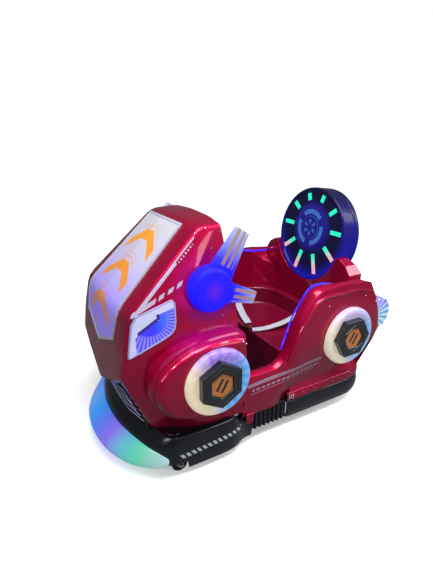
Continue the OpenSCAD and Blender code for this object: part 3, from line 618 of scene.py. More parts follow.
def ear_glow(g: Graph) -> Sock:
    """Ear lamp: deep blue disc with a violet middle, and blades that pale to their tips, with ochre stripes.

    Args:
        g: The graph to add to.

    Returns:
        The colour.
    """
    x, _, z = g.axes()
    dx, dz = x - 300.0, z - 818.0
    light = g.ramp(
        g.away(dx, dz) / 320.0, (0.0, 92, 26, 220), (0.07, 70, 18, 232), (0.16, 30, 12, 246),
        (0.3, 18, 14, 252), (0.42, 56, 52, 250), (0.62, 136, 146, 240), (0.92, 186, 200, 236),
    )
    for tip in ((-142.0, 224.0), (-208.0, -74.0)):
        along, across = g.slanted(dx, dz, (0.0, 0.0), tip)
        rows = (across + 33.0).wrapped(28.0).within(6.0, 21.0, 1.2) * abs(across).down(33.0, 1.0)
        light = g.mix(rows * along.within(108.0, 300.0, 5.0) * 0.8, light, srgb(172, 128, 62))
    return light


def strip_glow(g: Graph) -> Sock:
    """Blue light strip with brighter beads.

    Args:
        g: The graph to add to.

    Returns:
        The colour.
    """
    x, _, z = g.axes()
    beads = (x + z * 0.6).wrapped(16.0).within(3.0, 13.0, 3.0)
    return g.mix(beads, srgb(20, 8, 225), srgb(58, 38, 255))


def panel_glow(g: Graph) -> Sock:
    """Light panel: grey white at the top, violet at the foot, with plain orange chevrons.

    Args:
        g: The graph to add to.

    Returns:
        The colour.
    """
    _, y, z = g.axes()
    y, bend = abs(y), z - 753.0
    up = g.math("MAXIMUM", bend, 0.0) * 1.42 + g.math("MINIMUM", bend, 0.0)
    base = g.ramp(
        (up + 230.0) / 670.0, (0.0, 150, 136, 232), (0.22, 146, 122, 250), (0.42, 176, 160, 248),
        (0.62, 198, 190, 226), (1.0, 206, 204, 208),
    )
    lift = (up + g.math("MAXIMUM", y - 32.0, 0.0) * 0.8 + 36.0).wrapped(172.0)
    wide = y.down(136.0, 1.2) * up.within(-128.0, 384.0, 2.0)
    bold = lift.within(0.0, 54.0, 1.2)
    thin = g.most(lift.within(72.0, 78.0, 1.0), lift.within(96.0, 100.0, 1.0)) * y.down(74.0, 1.0)
    amber = g.ramp((up + 120.0) / 480.0, (0.0, 196, 122, 96), (0.5, 236, 146, 40), (1.0, 246, 158, 30))
    return g.mix(g.most(bold, thin * 0.8) * wide, base, amber)


def headlight_glow(g: Graph) -> Sock:
    """Headlight window: pale field, a navy bent bar, a blue to violet pool and ticks along its rim.

    Args:
        g: The graph to add to.

    Returns:
        The colour.
    """
    x, _, z = g.axes()
    over = z - (729.0 - (x - 530.0) * 0.6)
    behind = x.down(524.0, 1.5) * (z - (524.0 - x) * 0.3).down(748.0, 1.5)
    pool = g.most(behind, over.down(-7.0, 1.5) * x.down(622.0, 2.0))
    arm = abs(over).down(8.0, 1.0) * x.within(528.0, 612.0, 1.0)
    bar = g.most(arm, abs(x - 527.0).down(6.0, 1.0) * z.within(727.0, 750.0, 1.0))
    blue = g.ramp(
        (x - 456.0) / 180.0, (0.0, 96, 156, 236), (0.25, 52, 96, 246), (0.5, 24, 40, 252), (0.8, 66, 26, 250),
        (1.0, 120, 80, 246),
    )
    dx, dz = x - 562.0, z - 738.0
    rim = g.away(dx, dz).up(74.0, 6.0)
    ticks = g.turn(dz, dx).wrapped(8.0).within(0.0, 3.6, 0.6)
    fan = g.mix(ticks, srgb(134, 124, 246), srgb(44, 58, 216))
    light = g.mix(pool, srgb(188, 190, 226), g.mix(rim, blue, fan))
    return g.mix(bar, light, srgb(24, 8, 132))


def tail_glow(g: Graph) -> Sock:
    """Tail lamp: rays of white, cyan and blue that fan out from its root.

    Args:
        g: The graph to add to.

    Returns:
        The colour.
    """
    x, _, z = g.axes()
    rays = (g.turn(z - 512.0, -640.0 - x) + 4.0).wrapped(19.0).within(0.0, 9.0, 0.8)
    rise = (z - 420.0) / 190.0
    cool = g.ramp(rise, (0.0, 84, 196, 226), (0.5, 62, 168, 232), (0.8, 104, 118, 244), (1.0, 150, 140, 246))
    pale = g.ramp(rise, (0.0, 214, 228, 224), (0.6, 206, 222, 236), (1.0, 182, 170, 250))
    return g.mix(rays, pale, cool)


def display_glow(g: Graph) -> Sock:
    """Dash display: dark glass with a plain row of bars that grow to one side.

    Args:
        g: The graph to add to.

    Returns:
        The colour.
    """
    _, y, z = g.axes()
    bars = (y + 72.0).wrapped(16.0).within(3.0, 12.0, 0.6) * abs(y).down(66.0, 0.6)
    level = (z - 908.0 + y * 0.16).down(22.0, 0.6) * z.up(908.0, 0.6)
    return g.mix(bars * level, srgb(6, 8, 20), srgb(40, 190, 220))


@dataclass(frozen=True)
class DiscFace:
    """The headrest disc's own plane, for patterns round its raised hub."""

    hub: Pair = (-513.6, 918.7)
    lean: float = 7.0

    def plane(self, g: Graph) -> Axes:
        """The disc's own coordinates.

        Args:
            g: The graph to add to.

        Returns:
            Height in its plane, distance from the hub and turn in degrees.
        """
        x, y, z = g.axes()
        lean = math.radians(self.lean)
        up = (z - self.hub[1]) * math.cos(lean) - (x - self.hub[0]) * math.sin(lean)
        return up, g.away(y, up), g.turn(up, y) + 180.0

    def ink(self, g: Graph) -> Sock:
        """Navy face with pale blue arcs on the hub and a lit rim.

        Args:
            g: The graph to add to.

        Returns:
            The colour.
        """
        x, _, _ = g.axes()
        _, away, turn = self.plane(g)
        face = g.ramp(
            away / 300.0, (0.0, 34, 30, 142), (0.19, 30, 26, 138), (0.36, 30, 26, 150), (0.5, 6, 4, 48),
            (0.72, 8, 5, 62), (0.8, 16, 10, 132), (1.0, 20, 14, 204),
        )
        arc = away.within(73.0, 98.0, 1.2) * (turn + 20.0).wrapped(120.0).within(0.0, 92.0, 1.0)
        thin = away.within(60.0, 62.5, 0.6)
        mark = away.within(20.0, 44.0, 1.0) * (turn + 38.0).wrapped(60.0).within(0.0, 26.0, 1.0)
        front = x.up(-545.0, 8.0)
        return g.mix(g.most(arc, thin * 0.7, mark * 0.8) * front, face, srgb(70, 122, 214))

    def bars(self, g: Graph) -> Sock:
        """Teal bars, of which the lower ones turn pink outwards.

        Args:
            g: The graph to add to.

        Returns:
            The colour.
        """
        up, away, _ = self.plane(g)
        pink = away.up(196.0, 34.0) * up.down(-70.0, 20.0)
        return g.mix(pink, srgb(18, 232, 190), srgb(232, 168, 180))


def plate_mark(g: Graph) -> Sock:
    """Amber plate of a hexagon cap with a dark plain mark of two slanted bars.

    Args:
        g: The graph to add to.

    Returns:
        The colour.
    """
    x, _, z = g.axes()
    front = x.up(-50.0, 1.0)
    u, v = x - (front * 762.0 - 432.0), z - (462.0 - front * 7.0)
    lean, rise = u * 0.86 + v * 0.5, v * 0.86 - u * 0.5
    bars = abs(abs(lean) - 13.0).down(6.5, 0.8) * abs(rise).down(29.0, 0.8)
    amber = g.mix(g.noise(3.0, 4.0), srgb(170, 98, 38), srgb(206, 130, 62))
    return g.mix(bars, amber, srgb(22, 22, 30))


@dataclass
class Mould:
    """One new piece, from a mesh in work to an object that rides a body. Its sizes are in millimetres."""

    name: str
    bm: bmesh.types.BMesh = field(default_factory=bmesh.new)
    paints: ClassVar[dict[str, bpy.types.Material]] = {}
    node_weld: ClassVar[float] = 0.01
    hard_crease: ClassVar[float] = 0.75

    @classmethod
    def of_nodes(cls, name: str, *nodes: str) -> "Mould":
        """A piece that starts as welded copies of CAD nodes.

        Args:
            name: The piece's name.
            nodes: The nodes.

        Returns:
            The mould.
        """
        mould = cls(name)
        for node in nodes:
            mould.bm.from_mesh(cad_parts[node].data)
        return mould.weld(mould.bm.verts, cls.node_weld)

    @classmethod
    def copy(
        cls, name: str, node: str, paint: str, bevel: Sequence[float] = (), slot: str = "", body: str = CAR,
    ) -> None:
        """A finished piece that copies one CAD node.

        Args:
            name: The piece's name.
            node: The node that it replaces.
            paint: The finish's name.
            bevel: Angle, width and segments of its rounded edges, if it has any.
            slot: The record's material slot, or nothing where it is the finish's name.
            body: The body that the piece rides.
        """
        mould = cls.of_nodes(name, node).flatten()
        if bevel:
            mould.bevel(*bevel)
        mould.finish(paint, slot, body, [node])

    def weld(self, verts: Iterable[bmesh.types.BMVert], reach: float) -> "Mould":
        """Merges vertices that lie within a reach."""
        bmesh.ops.remove_doubles(self.bm, verts=list(verts), dist=reach * MM)
        return self

    def flatten(self, degrees: float = 0.4) -> "Mould":
        """Joins faces that lie in one plane."""
        bmesh.ops.dissolve_limit(
            self.bm, angle_limit=math.radians(degrees), verts=self.bm.verts, edges=self.bm.edges,
            use_dissolve_boundaries=False, delimit=set(),
        )
        return self

    def quads(self, bend: float = 40.0, skew: float = 80.0) -> "Mould":
        """Joins triangles to quads, within a bend and a skew in degrees, ready for subdivision."""
        bmesh.ops.join_triangles(
            self.bm, faces=self.bm.faces, angle_face_threshold=math.radians(bend),
            angle_shape_threshold=math.radians(skew),
        )
        return self

    def rounded(self, edges: Iterable[bmesh.types.BMEdge], width: float, segments: int) -> "Mould":
        """Rounds edges."""
        bmesh.ops.bevel(
            self.bm, geom=list(edges), offset=width * MM, segments=segments, profile=0.5, affect="EDGES",
            clamp_overlap=True, material=-1,
        )
        return self

    def bevel(self, degrees: float, width: float, segments: int = 2) -> "Mould":
        """Rounds every edge whose faces meet at more than an angle.

        Args:
            degrees: The angle.
            width: Width of the round.
            segments: Faces across it.

        Returns:
            The mould.
        """
        least = math.radians(degrees)
        bent = (e for e in self.bm.edges if e.is_manifold and e.calc_face_angle(0.0) > least)
        return self.rounded(bent, width, segments)

    def round_posts(self, way: Vector, radius: float, segments: int = 8) -> "Mould":
        """Rounds the edges that run along one way."""
        runs = ((e, (e.verts[1].co - e.verts[0].co).normalized()) for e in self.bm.edges)
        return self.rounded((e for e, run in runs if abs(run.dot(way)) > 0.99), radius, segments)

    def cone(
        self, at: Sequence[float], axis: Sequence[float], radius: float, height: float,
        tip: Optional[float] = None, segments: int = 24,
    ) -> "Mould":
        """Adds a capped cylinder, or a cone frustum, whose foot is at a point.

        Args:
            at: The middle of its foot.
            axis: The way it rises.
            radius: The foot's radius.
            height: How far it rises.
            tip: The upper radius, or None for a cylinder.
            segments: Sides.

        Returns:
            The mould.
        """
        way = Vector(axis).normalized()
        turn = UP.rotation_difference(way).to_matrix().to_4x4()
        bmesh.ops.create_cone(
            self.bm, cap_ends=True, cap_tris=False, segments=segments, radius1=radius * MM,
            radius2=(radius if tip is None else tip) * MM, depth=height * MM,
            matrix=Matrix.Translation((Vector(at) + way * height / 2) * MM) @ turn,
        )
        return self

    def block(self, at: Sequence[float], size: Sequence[float], turn: Optional[Matrix] = None) -> "Mould":
        """Adds a box round a middle point, turned by a matrix.

        Args:
            at: The middle.
            size: Sizes along its axes.
            turn: The matrix, if it is turned.

        Returns:
            The mould.
        """
        scale = Matrix.Diagonal((*(Vector(size) * MM), 1))
        place = Matrix.Translation(Vector(at) * MM) @ (turn or Matrix.Identity(4)) @ scale
        bmesh.ops.create_cube(self.bm, size=1.0, matrix=place)
        return self

    def hoop(
        self, at: Sequence[float], axis: Sequence[float], radius: float, tube: float, start: float = 0.0,
        steps: int = 48, sides: int = 10,
    ) -> "Mould":
        """Adds a ring of round bar.

        Args:
            at: The ring's middle.
            axis: The way it faces.
            radius: From its middle to the bar's middle.
            tube: The bar's radius.
            start: Turn of its first step about the axis, in degrees.
            steps: Steps round the ring.
            sides: Sides of the bar.

        Returns:
            The mould.
        """
        way = Vector(axis).normalized()
        side = way.orthogonal().normalized()
        side.rotate(Matrix.Rotation(math.radians(start), 3, way))
        centre = Vector(at) * MM
        basis = Matrix((side, way, side.cross(way))).transposed().to_4x4()
        verts = bmesh.ops.create_circle(
            self.bm, cap_ends=False, segments=sides, radius=tube * MM,
            matrix=Matrix.Translation(centre + side * radius * MM) @ basis,
        )["verts"]
        bmesh.ops.spin(
            self.bm, geom=list(verts) + list({e for v in verts for e in v.link_edges}), cent=centre, axis=way,
            angle=2 * math.pi, steps=steps, use_merge=True,
        )
        return self

    def rail(self, points: Sequence[Vector], radius: float, sides: int = 8) -> "Mould":
        """Adds a round bar along points.

        Args:
            points: The bar's line.
            radius: The bar's radius.
            sides: Sides of the bar.

        Returns:
            The mould.
        """
        edges = []
        for k, point in enumerate(points):
            way = (points[min(k + 1, len(points) - 1)] - points[max(k - 1, 0)]).normalized()
            across = way.cross(ASIDE)
            basis = Matrix((across.normalized(), way.cross(across).normalized(), way)).transposed()
            made = bmesh.ops.create_circle(
                self.bm, segments=sides, radius=radius * MM,
                matrix=Matrix.Translation(point * MM) @ basis.to_4x4(),
            )
            edges += list({e for v in made["verts"] for e in v.link_edges})
        bmesh.ops.bridge_loops(self.bm, edges=edges)
        bmesh.ops.holes_fill(self.bm, edges=[e for e in self.bm.edges if e.is_boundary], sides=sides)
        return self

    def sweep(self, rows: Sequence[Sequence[Vector]]) -> "Mould":
        """Adds a solid.

        Args:
            rows: Its cross-sections, each a row of points.

        Returns:
            The mould.
        """
        rings = [[self.bm.verts.new(point * MM) for point in row] for row in rows]
        for ring, following in zip(rings, rings[1:]):
            for k in range(len(ring)):
                self.bm.faces.new((ring[k - 1], ring[k], following[k], following[k - 1]))
        for end in (rings[0], rings[-1]):
            self.bm.faces.new(end)
        return self

    def mark(self, picked: Callable[[bmesh.types.BMFace], bool]) -> "Mould":
        """Marks the faces that a test picks, for `window` and `pane`.

        Args:
            picked: The test.

        Returns:
            The mould.
        """
        for face in self.bm.faces:
            face.material_index = int(picked(face))
        return self

    def window(self, rim: float, drop: float) -> "Mould":
        """Sinks a window into the marked faces.

        Args:
            rim: Width of the rim left round it.
            drop: How far it sinks.

        Returns:
            The mould.
        """
        faces = [f for f in self.bm.faces if f.material_index]
        for thickness, depth in ((rim, 0.0), (drop * 0.6, -drop)):
            made = bmesh.ops.inset_region(
                self.bm, faces=faces, use_boundary=True, use_even_offset=True, thickness=thickness * MM,
                depth=depth * MM,
            )
            for face in made["faces"]:
                face.material_index = 0
        return self

    def pane(self, name: str, lift: float = 0.2, shrink: float = 0.2) -> "Mould":
        """A copy of the marked faces as a piece of its own.

        Args:
            name: The new piece's name.
            lift: How far it stands off them.
            shrink: How much smaller it is at its edge.

        Returns:
            The new mould.
        """
        pane = Mould(name, self.bm.copy())
        rest = [f for f in pane.bm.faces if not f.material_index]
        bmesh.ops.delete(pane.bm, geom=rest, context="FACES")
        rim = bmesh.ops.inset_region(
            pane.bm, faces=pane.bm.faces, use_boundary=True, use_even_offset=True, thickness=shrink * MM,
        )
        bmesh.ops.delete(pane.bm, geom=rim["faces"], context="FACES")
        pane.bm.normal_update()
        for vert in pane.bm.verts:
            vert.co += vert.normal * lift * MM
        return pane

    def finish(
        self, paint: str, slot: str = "", body: str = CAR, stands_for: Sequence[str] = (),
        sharp: float = 35.0, levels: int = 0, closed: bool = True,
    ) -> None:
        """Turns the mesh into an object.

        Args:
            paint: The finish's name.
            slot: The record's material slot, or nothing where it is the finish's name.
            body: The body that the piece rides.
            stands_for: CAD nodes that the piece replaces.
            sharp: Edges over this angle stay sharp, in degrees.
            levels: Subdivision levels.
            closed: Whether the mesh has an inside.
        """
        bm = self.bm
        slot = slot or paint
        if closed:
            bmesh.ops.recalc_face_normals(bm, faces=bm.faces)
        crease = bm.edges.layers.float.get("crease_edge") or bm.edges.layers.float.new("crease_edge")
        for face in bm.faces:
            face.smooth = True
            face.material_index = 0
        for edge in bm.edges:
            edge.smooth = not edge.is_manifold or edge.calc_face_angle(0.0) < math.radians(sharp)
            edge[crease] = 0.0 if edge.smooth else self.hard_crease
        mesh = bpy.data.meshes.new(self.name)
        bm.to_mesh(mesh)
        bm.free()
        obj = bpy.data.objects.new(self.name, mesh)
        bpy.context.scene.collection.objects.link(obj)
        mesh.materials.append(self.paints[paint])
        if levels:
            subdivision = obj.modifiers.new("subdivision", "SUBSURF")
            subdivision.levels = subdivision.render_levels = levels
        obj.modifiers.new("normals", "WEIGHTED_NORMAL").keep_sharp = True
        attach(obj, body)
        if stands_for:
            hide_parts(*stands_for)
        log.info("%s: %d faces, slot %s", self.name, len(mesh.polygons), slot)


@dataclass
class Surface:
    """The faces of CAD nodes, to set small pieces on."""

    tree: BVHTree

    @classmethod
    def of(cls, *nodes: str) -> "Surface":
        """The surface of some nodes.

        Args:
            nodes: The nodes.

        Returns:
            The surface.
        """
        bm = bmesh.new()
        for node in nodes:
            bm.from_mesh(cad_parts[node].data)
        tree = BVHTree.FromBMesh(bm)
        bm.free()
        return cls(tree)

    def hit(self, start: Sequence[float], way: Sequence[float]) -> Hit:
        """Finds where a ray meets the surface.

        Args:
            start: The ray's start, in millimetres.
            way: Its way.

        Returns:
            The first point, in millimetres, and its normal, or None.
        """
        way = Vector(way)
        place, normal, _, _ = self.tree.ray_cast(Vector(start) * MM, way)
        return None if place is None else (place / MM, normal if normal.dot(way) < 0 else -normal)

    def beside(self, side: Side, x: float, z: float) -> Hit:
        """Point and normal that a level ray from one side meets, or None."""
        return self.hit(side.at(x, FAR, z), (0, -side.value, 0))

    def behind(self, y: float, z: float) -> Hit:
        """Point and normal that a level ray from behind meets, or None."""
        return self.hit((-FAR, y, z), AHEAD)


def palette() -> list[Finish]:
    """The car's finishes.

    Returns:
        One finish for each name that a piece gives.
    """
    front_ring = ring_glow(330.0, 455.0, srgb(246, 228, 190), srgb(158, 112, 246), srgb(56, 166, 246))
    rear_ring = ring_glow(-432.0, 462.0, srgb(240, 226, 200), srgb(206, 190, 246), srgb(122, 174, 246))
    disc = DiscFace()
    smooth = {"grain": 2.0, "depth": 0.03}
    lens = {"coat": 0.4, **smooth}
    frosted = {"shine": 0.1, "milk": 0.004, **smooth}
    trim = {"coat": 0.5, "shade": 0.06, **smooth}
    return [
        Finish("frame_steel", srgb(40, 42, 46), 0.5, coat=0.1, grain=1.2, depth=0.08),
        Finish("floor_mat", srgb(20, 24, 66), 0.75, grain=2.0, depth=0.25),
        Finish("battery_case", srgb(30, 32, 34), 0.6),
        Finish("motor_steel", srgb(120, 122, 126), 0.38, metallic=0.9, grain=1.5, depth=0.06),
        TreadRubber("drive_tyre", srgb(26, 26, 27), 0.8, grain=1.5, centre=(-330.0, 100.0)),
        Finish("caster_tyre", srgb(34, 34, 36), 0.7, grain=1.5, depth=0.1),
        Finish("fork_steel", srgb(150, 152, 156), 0.34, metallic=0.95, grain=1.2, depth=0.05),
        Finish("screw_steel", srgb(206, 206, 210), 0.26, metallic=1.0, grain=0.8, depth=0.03),
        BumperBlack("base_black", srgb(20, 24, 32), 0.3, coat=0.35, grain=1.4, depth=0.04, shine=0.3),
        Finish("grip_black", srgb(15, 19, 26), 0.4, coat=0.15, grain=1.2, depth=0.1, shine=0.35),
        CandyPaint("candy_red", srgb(164, 0, 54), 0.36, metallic=0.45, coat=0.8, grain=2.2, depth=0.012,
                   spread=0.06),
        Finish("seat_red", srgb(120, 0, 42), 0.36, metallic=0.15, coat=0.5, grain=2.0, depth=0.05),
        Lens("nose_lens", srgb(120, 160, 255), 0.32, pattern=nose_glow, power=0.62, **lens),
        Lens("panel_field", srgb(190, 186, 240), 0.36, pattern=panel_glow, power=0.34, body=0.55, **lens),
        Finish("panel_frame", srgb(178, 176, 196), 0.3, **trim),
        Finish("lamp_rim", srgb(160, 158, 206), 0.3, **trim),
        Finish("slat_white", srgb(206, 206, 220), 0.4, coat=0.3),
        # painted shade: dark violet for the chin slats' faces that don't face forward, as the shade of their
        # recess
        Finish("slat_dark", srgb(52, 30, 66), 0.4, coat=0.3),
        Lens("headlight_lens", srgb(190, 186, 240), 0.3, pattern=headlight_glow, power=0.7, **lens),
        Lens("ear_lens", srgb(60, 60, 255), 0.5, pattern=ear_glow, power=0.95, body=0.03, **frosted),
        Lens("front_ring_lens", srgb(200, 200, 255), 0.35, pattern=front_ring, power=0.55, **lens),
        Lens("rear_ring_lens", srgb(200, 200, 255), 0.35, pattern=rear_ring, power=0.5, **lens),
        Finish("cap_black", srgb(17, 19, 25), 0.34, coat=0.35, grain=1.5),
        Lens("cap_amber", srgb(190, 115, 50), 0.45, pattern=plate_mark, power=0.12, body=0.8, grain=1.5),
        Lens("led_blue", srgb(40, 30, 255), 0.5, pattern=strip_glow, power=2.2, body=0.05,
             **{**frosted, "shine": 0.15}),
        Lens("disc_navy", srgb(22, 22, 78), 0.34, pattern=disc.ink, power=0.56, body=0.08, coat=0.08,
             shine=0.08, milk=0.002, grain=1.6, depth=0.02),
        Lens("bar_teal", srgb(40, 220, 190), 0.3, pattern=disc.bars, power=0.8, **lens),
        Lens("tail_lens", srgb(120, 200, 250), 0.3, pattern=tail_glow, power=0.55, **lens),
        Finish("dash_black", srgb(26, 26, 30), 0.55, grain=1.5, depth=0.15),
        Finish("wheel_black", srgb(22, 22, 24), 0.5, grain=1.2, depth=0.15),
        Webbing("webbing", srgb(186, 186, 200), 0.8, grain=1.0, depth=0.2),
        Finish("buckle_black", srgb(24, 24, 26), 0.4, coat=0.2),
        Finish("button_red", srgb(176, 18, 24), 0.3, coat=0.6),
        Finish("button_blue", srgb(30, 60, 190), 0.3, coat=0.6),
        Finish("reflector_red", srgb(190, 10, 20), 0.2, coat=1.0, grain=6.0, depth=0.5),
        Lens("display_glass", srgb(16, 20, 40), 0.12, pattern=display_glow, power=0.5, coat=0.6,
             grain=2.0, depth=0.01),
    ]


@dataclass
class BodyShells:
    """The lacquered and black mouldings, made smooth from the CAD nodes, and the trim that stands on them."""

    seam_reach: float = 0.7
    bead_run: Pair = (-78.0, -610.0)
    bead_steps: int = 60
    bead_y: float = 362.0
    bead_drop: float = 44.0
    bead_r: float = 7.0
    lug_size: Point = (50.0, 18.0, 54.0)
    lug_at: Point = (128.0, 391.0, 158.0)
    lug_taper: float = 0.66
    swivel_at: Point = (500.0, 362.0, 214.5)
    swivel_r: float = 34.0
    trim_z: float = 184.0
    rib_run: Point = (-116.0, -127.0, -138.0)
    rib_size: Point = (4.0, 4.0, 24.0)
    seam_run: Pair = (-266.0, -470.0)
    seam_size: Point = (2.4, 1.2, 30.0)
    ledge_run: tuple[int, int, int] = (-120, -540, -30)
    ledge_turn: Point = (-540.0, 260.0, 0.0)
    ledge_back: tuple[int, int, int] = (230, 0, -46)
    ledge_z: Pair = (204.0, 250.0)
    ledge_sink: float = 2.0
    ledge_least: float = 14.0

    def build(self) -> None:
        """Cowl, cradle, skirt, bumpers, fenders, grips and tub, with their trim."""
        for node, bevel in (("front_cowl", ()), ("disc_cradle", (24, 9, 4)), ("rear_skirt", ())):
            Mould.copy(f"{node}_shell", node, "candy_red", bevel)
        for node in ("bumper_front", "bumper_rear"):
            Mould.copy(f"{node}_shell", node, "base_black")
        for side in Side:
            fender, grip = f"fender_{side.tag}", f"grip_{side.tag}"
            shell = Mould.of_nodes(f"{fender}_shell", fender).quads()
            shell.finish("candy_red", stands_for=[fender], levels=2, sharp=50)
            Mould.copy(f"{grip}_pad", grip, "grip_black", (40, 2.5))
            self.lug(side)
            self.bead(side)
            self.skirt_trim(side)
            swivel = Mould(f"swivel_cap_{side.tag}")
            swivel.cone(side.at(*self.swivel_at), UP, self.swivel_r, 4, self.swivel_r - 3, 40)
            swivel.bevel(40, 1).finish("base_black")
        self.ledge()
        self.tub()

    def lug(self, side: Side) -> None:
        """A lug of the sill that hangs over the bumper, narrower at its foot.

        Args:
            side: The side to build.
        """
        x, _, z = Vector(self.lug_at) * MM
        lug = Mould(f"sill_lug_{side.tag}").block(side.at(*self.lug_at), self.lug_size)
        for vert in lug.bm.verts:
            if vert.co.z < z:
                vert.co.x = x + (vert.co.x - x) * self.lug_taper
        lug.round_posts(ASIDE, 12).bevel(50, 4, 3).finish("candy_red")

    def skirt_trim(self, side: Side) -> None:
        """Pale ribs on the skirt's front end, and the joints between its lengths.

        Args:
            side: The side to build.
        """
        skirt = Surface.of("rear_skirt")
        ribs, seams = Mould(f"skirt_ribs_{side.tag}"), Mould(f"skirt_joints_{side.tag}")
        for x in self.rib_run:
            place, normal = skirt.beside(side, x, self.trim_z)
            ribs.block(place + normal, self.rib_size)
        for x in self.seam_run:
            seams.block(skirt.beside(side, x, self.trim_z)[0], self.seam_size)
        ribs.bevel(50, 1.2).finish("slat_white")
        seams.bevel(50, 0.4).finish("cap_black")

    def ledge(self) -> None:
        """A ledge that slopes from the tub's foot to the skirt's top edge, round the tail."""
        skirt, tub = Surface.of("rear_skirt"), Surface.of(*TUB)
        rays = [(Vector((x, FAR, 0)), Vector((0, -1, 0))) for x in range(*self.ledge_run)]
        for turn in map(math.radians, range(0, 91, 6)):
            out = Vector((-math.sin(turn), math.cos(turn), 0))
            rays.append((Vector(self.ledge_turn) + out * 600, -out))
        rays += [(Vector((-FAR, y, 0)), AHEAD) for y in range(*self.ledge_back)]
        mirror = Vector((1, -1, 1))
        rays += [(start * mirror, way * mirror) for start, way in reversed(rays)]
        low_z, high_z = (UP * z for z in self.ledge_z)
        rows = []
        for start, way in rays:
            low, high = skirt.hit(start + low_z, way), tub.hit(start + high_z, way)
            if low and high:
                foot = low[0] + way * self.ledge_sink
                reach = max((high[0] - foot).dot(way) + self.ledge_sink, self.ledge_least)
                rows.append([foot, foot + way * reach + high_z - low_z, foot + way * reach])
        Mould("skirt_ledge").sweep(rows).finish("candy_red")

    def bead(self, side: Side) -> None:
        """A raised bead on the tub's side that follows its rim.

        Args:
            side: The side to build.
        """
        tub = Surface.of(f"tub_side_{side.tag}", f"tub_tail_{side.tag}")
        first, last = self.bead_run
        points = []
        for k in range(self.bead_steps + 1):
            x = first + (last - first) * k / self.bead_steps
            top = tub.hit(side.at(x, self.bead_y, 1000), (0, 0, -1))
            face = top and tub.beside(side, x, top[0].z - self.bead_drop)
            if face:
                points.append(face[0])
        for _ in range(3):
            inner = [(a + b * 2 + c) / 4 for a, b, c in zip(points, points[1:], points[2:])]
            points = [points[0], *inner, points[-1]]
        Mould(f"tub_bead_{side.tag}").rail(points, self.bead_r).finish("candy_red")

    def tub(self) -> None:
        """The four tub mouldings as one skin: the seam faces go, and the rims are welded."""
        mould = Mould.of_nodes("tub_shell", *TUB)
        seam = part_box("tub_side_left")[0].x
        reach = self.seam_reach * MM

        def at_seam(vert: bmesh.types.BMVert) -> tuple[bool, bool]:
            """Whether a vertex lies on the cross seam, and on the long one."""
            return abs(vert.co.x - seam) < reach, abs(vert.co.y) < reach

        walls = [f for f in mould.bm.faces if any(map(all, zip(*map(at_seam, f.verts))))]
        bmesh.ops.delete(mould.bm, geom=walls, context="FACES")
        mould.weld([v for v in mould.bm.verts if any(at_seam(v))], self.seam_reach)
        mould.flatten().finish("candy_red", stands_for=TUB)


@dataclass
class NoseLights:
    """Crescent, light panel, headlights and chin slats, and the toe board behind them."""

    panel_rim: float = 11.0
    headlight_rim: float = 5.0
    window_drop: float = 2.0
    corner_weld: float = 4.5
    ridge_y: float = 305.0
    ridge_gap: float = 0.6
    ridge_reach: float = 8.0
    board_at: Point = (584.0, 0.0, 272.0)
    board_size: Point = (4.0, 574.0, 212.0)

    def build(self) -> None:
        """All the lights of the nose."""
        crescent = Mould.of_nodes("nose_crescent", "nose_lamp").quads()
        crescent.finish("nose_lens", stands_for=["nose_lamp"], levels=2, sharp=120)
        panel = Mould.of_nodes("light_panel_frame", "light_panel").flatten(NEARLY_FLAT)
        panel.mark(lambda f: f.normal.x > 0.4).window(self.panel_rim, self.window_drop)
        panel.pane("light_panel_field").finish("panel_field", "panel_lens", closed=False)
        panel.finish("panel_frame", "panel_lens", stands_for=["light_panel"])
        for side in Side:
            self.headlight(side)
        # painted shade: the forward faces get a white pane, and the rest of the slats is painted dark violet
        # as the recess's shade
        slats = Mould.of_nodes("chin_slats", "chin_grille").flatten().mark(lambda f: f.normal.x > 0.5)
        slats.pane("chin_slat_edges", 1.4, 0.3).finish("slat_white", closed=False)
        slats.bevel(40, 1.2).finish("slat_dark", "slat_white", stands_for=["chin_grille"])
        board = Mould("toe_board").block(self.board_at, self.board_size)
        board.round_posts(AHEAD, 40).bevel(50, 1).finish("dash_black")

    def headlight(self, side: Side) -> None:
        """A headlight with a rim and a sunk window, whose front edge meets the cowl's ridge.

        Args:
            side: The side to build.
        """
        node = f"headlight_{side.tag}"
        lamp = Mould.of_nodes(f"{node}_frame", node)
        lamp.weld(lamp.bm.verts, self.corner_weld).flatten(NEARLY_FLAT)
        cowl = Surface.of("front_cowl")
        for vert in {v for f in lamp.bm.faces if f.normal.x > 0.85 for v in f.verts}:
            x, z = vert.co.x / MM, vert.co.z / MM
            ridge = cowl.hit(side.at(x, self.ridge_y, z), AHEAD)
            if ridge:
                vert.co.x += min(ridge[0].x - x - self.ridge_gap, self.ridge_reach) * MM
        lamp.bm.normal_update()
        lamp.flatten(NEARLY_FLAT).mark(lambda f: f.normal.y * side.value > 0.6)
        lamp.window(self.headlight_rim, self.window_drop)
        lamp.pane(f"{node}_window").finish("headlight_lens", closed=False)
        lamp.finish("lamp_rim", "headlight_lens", stands_for=[node])


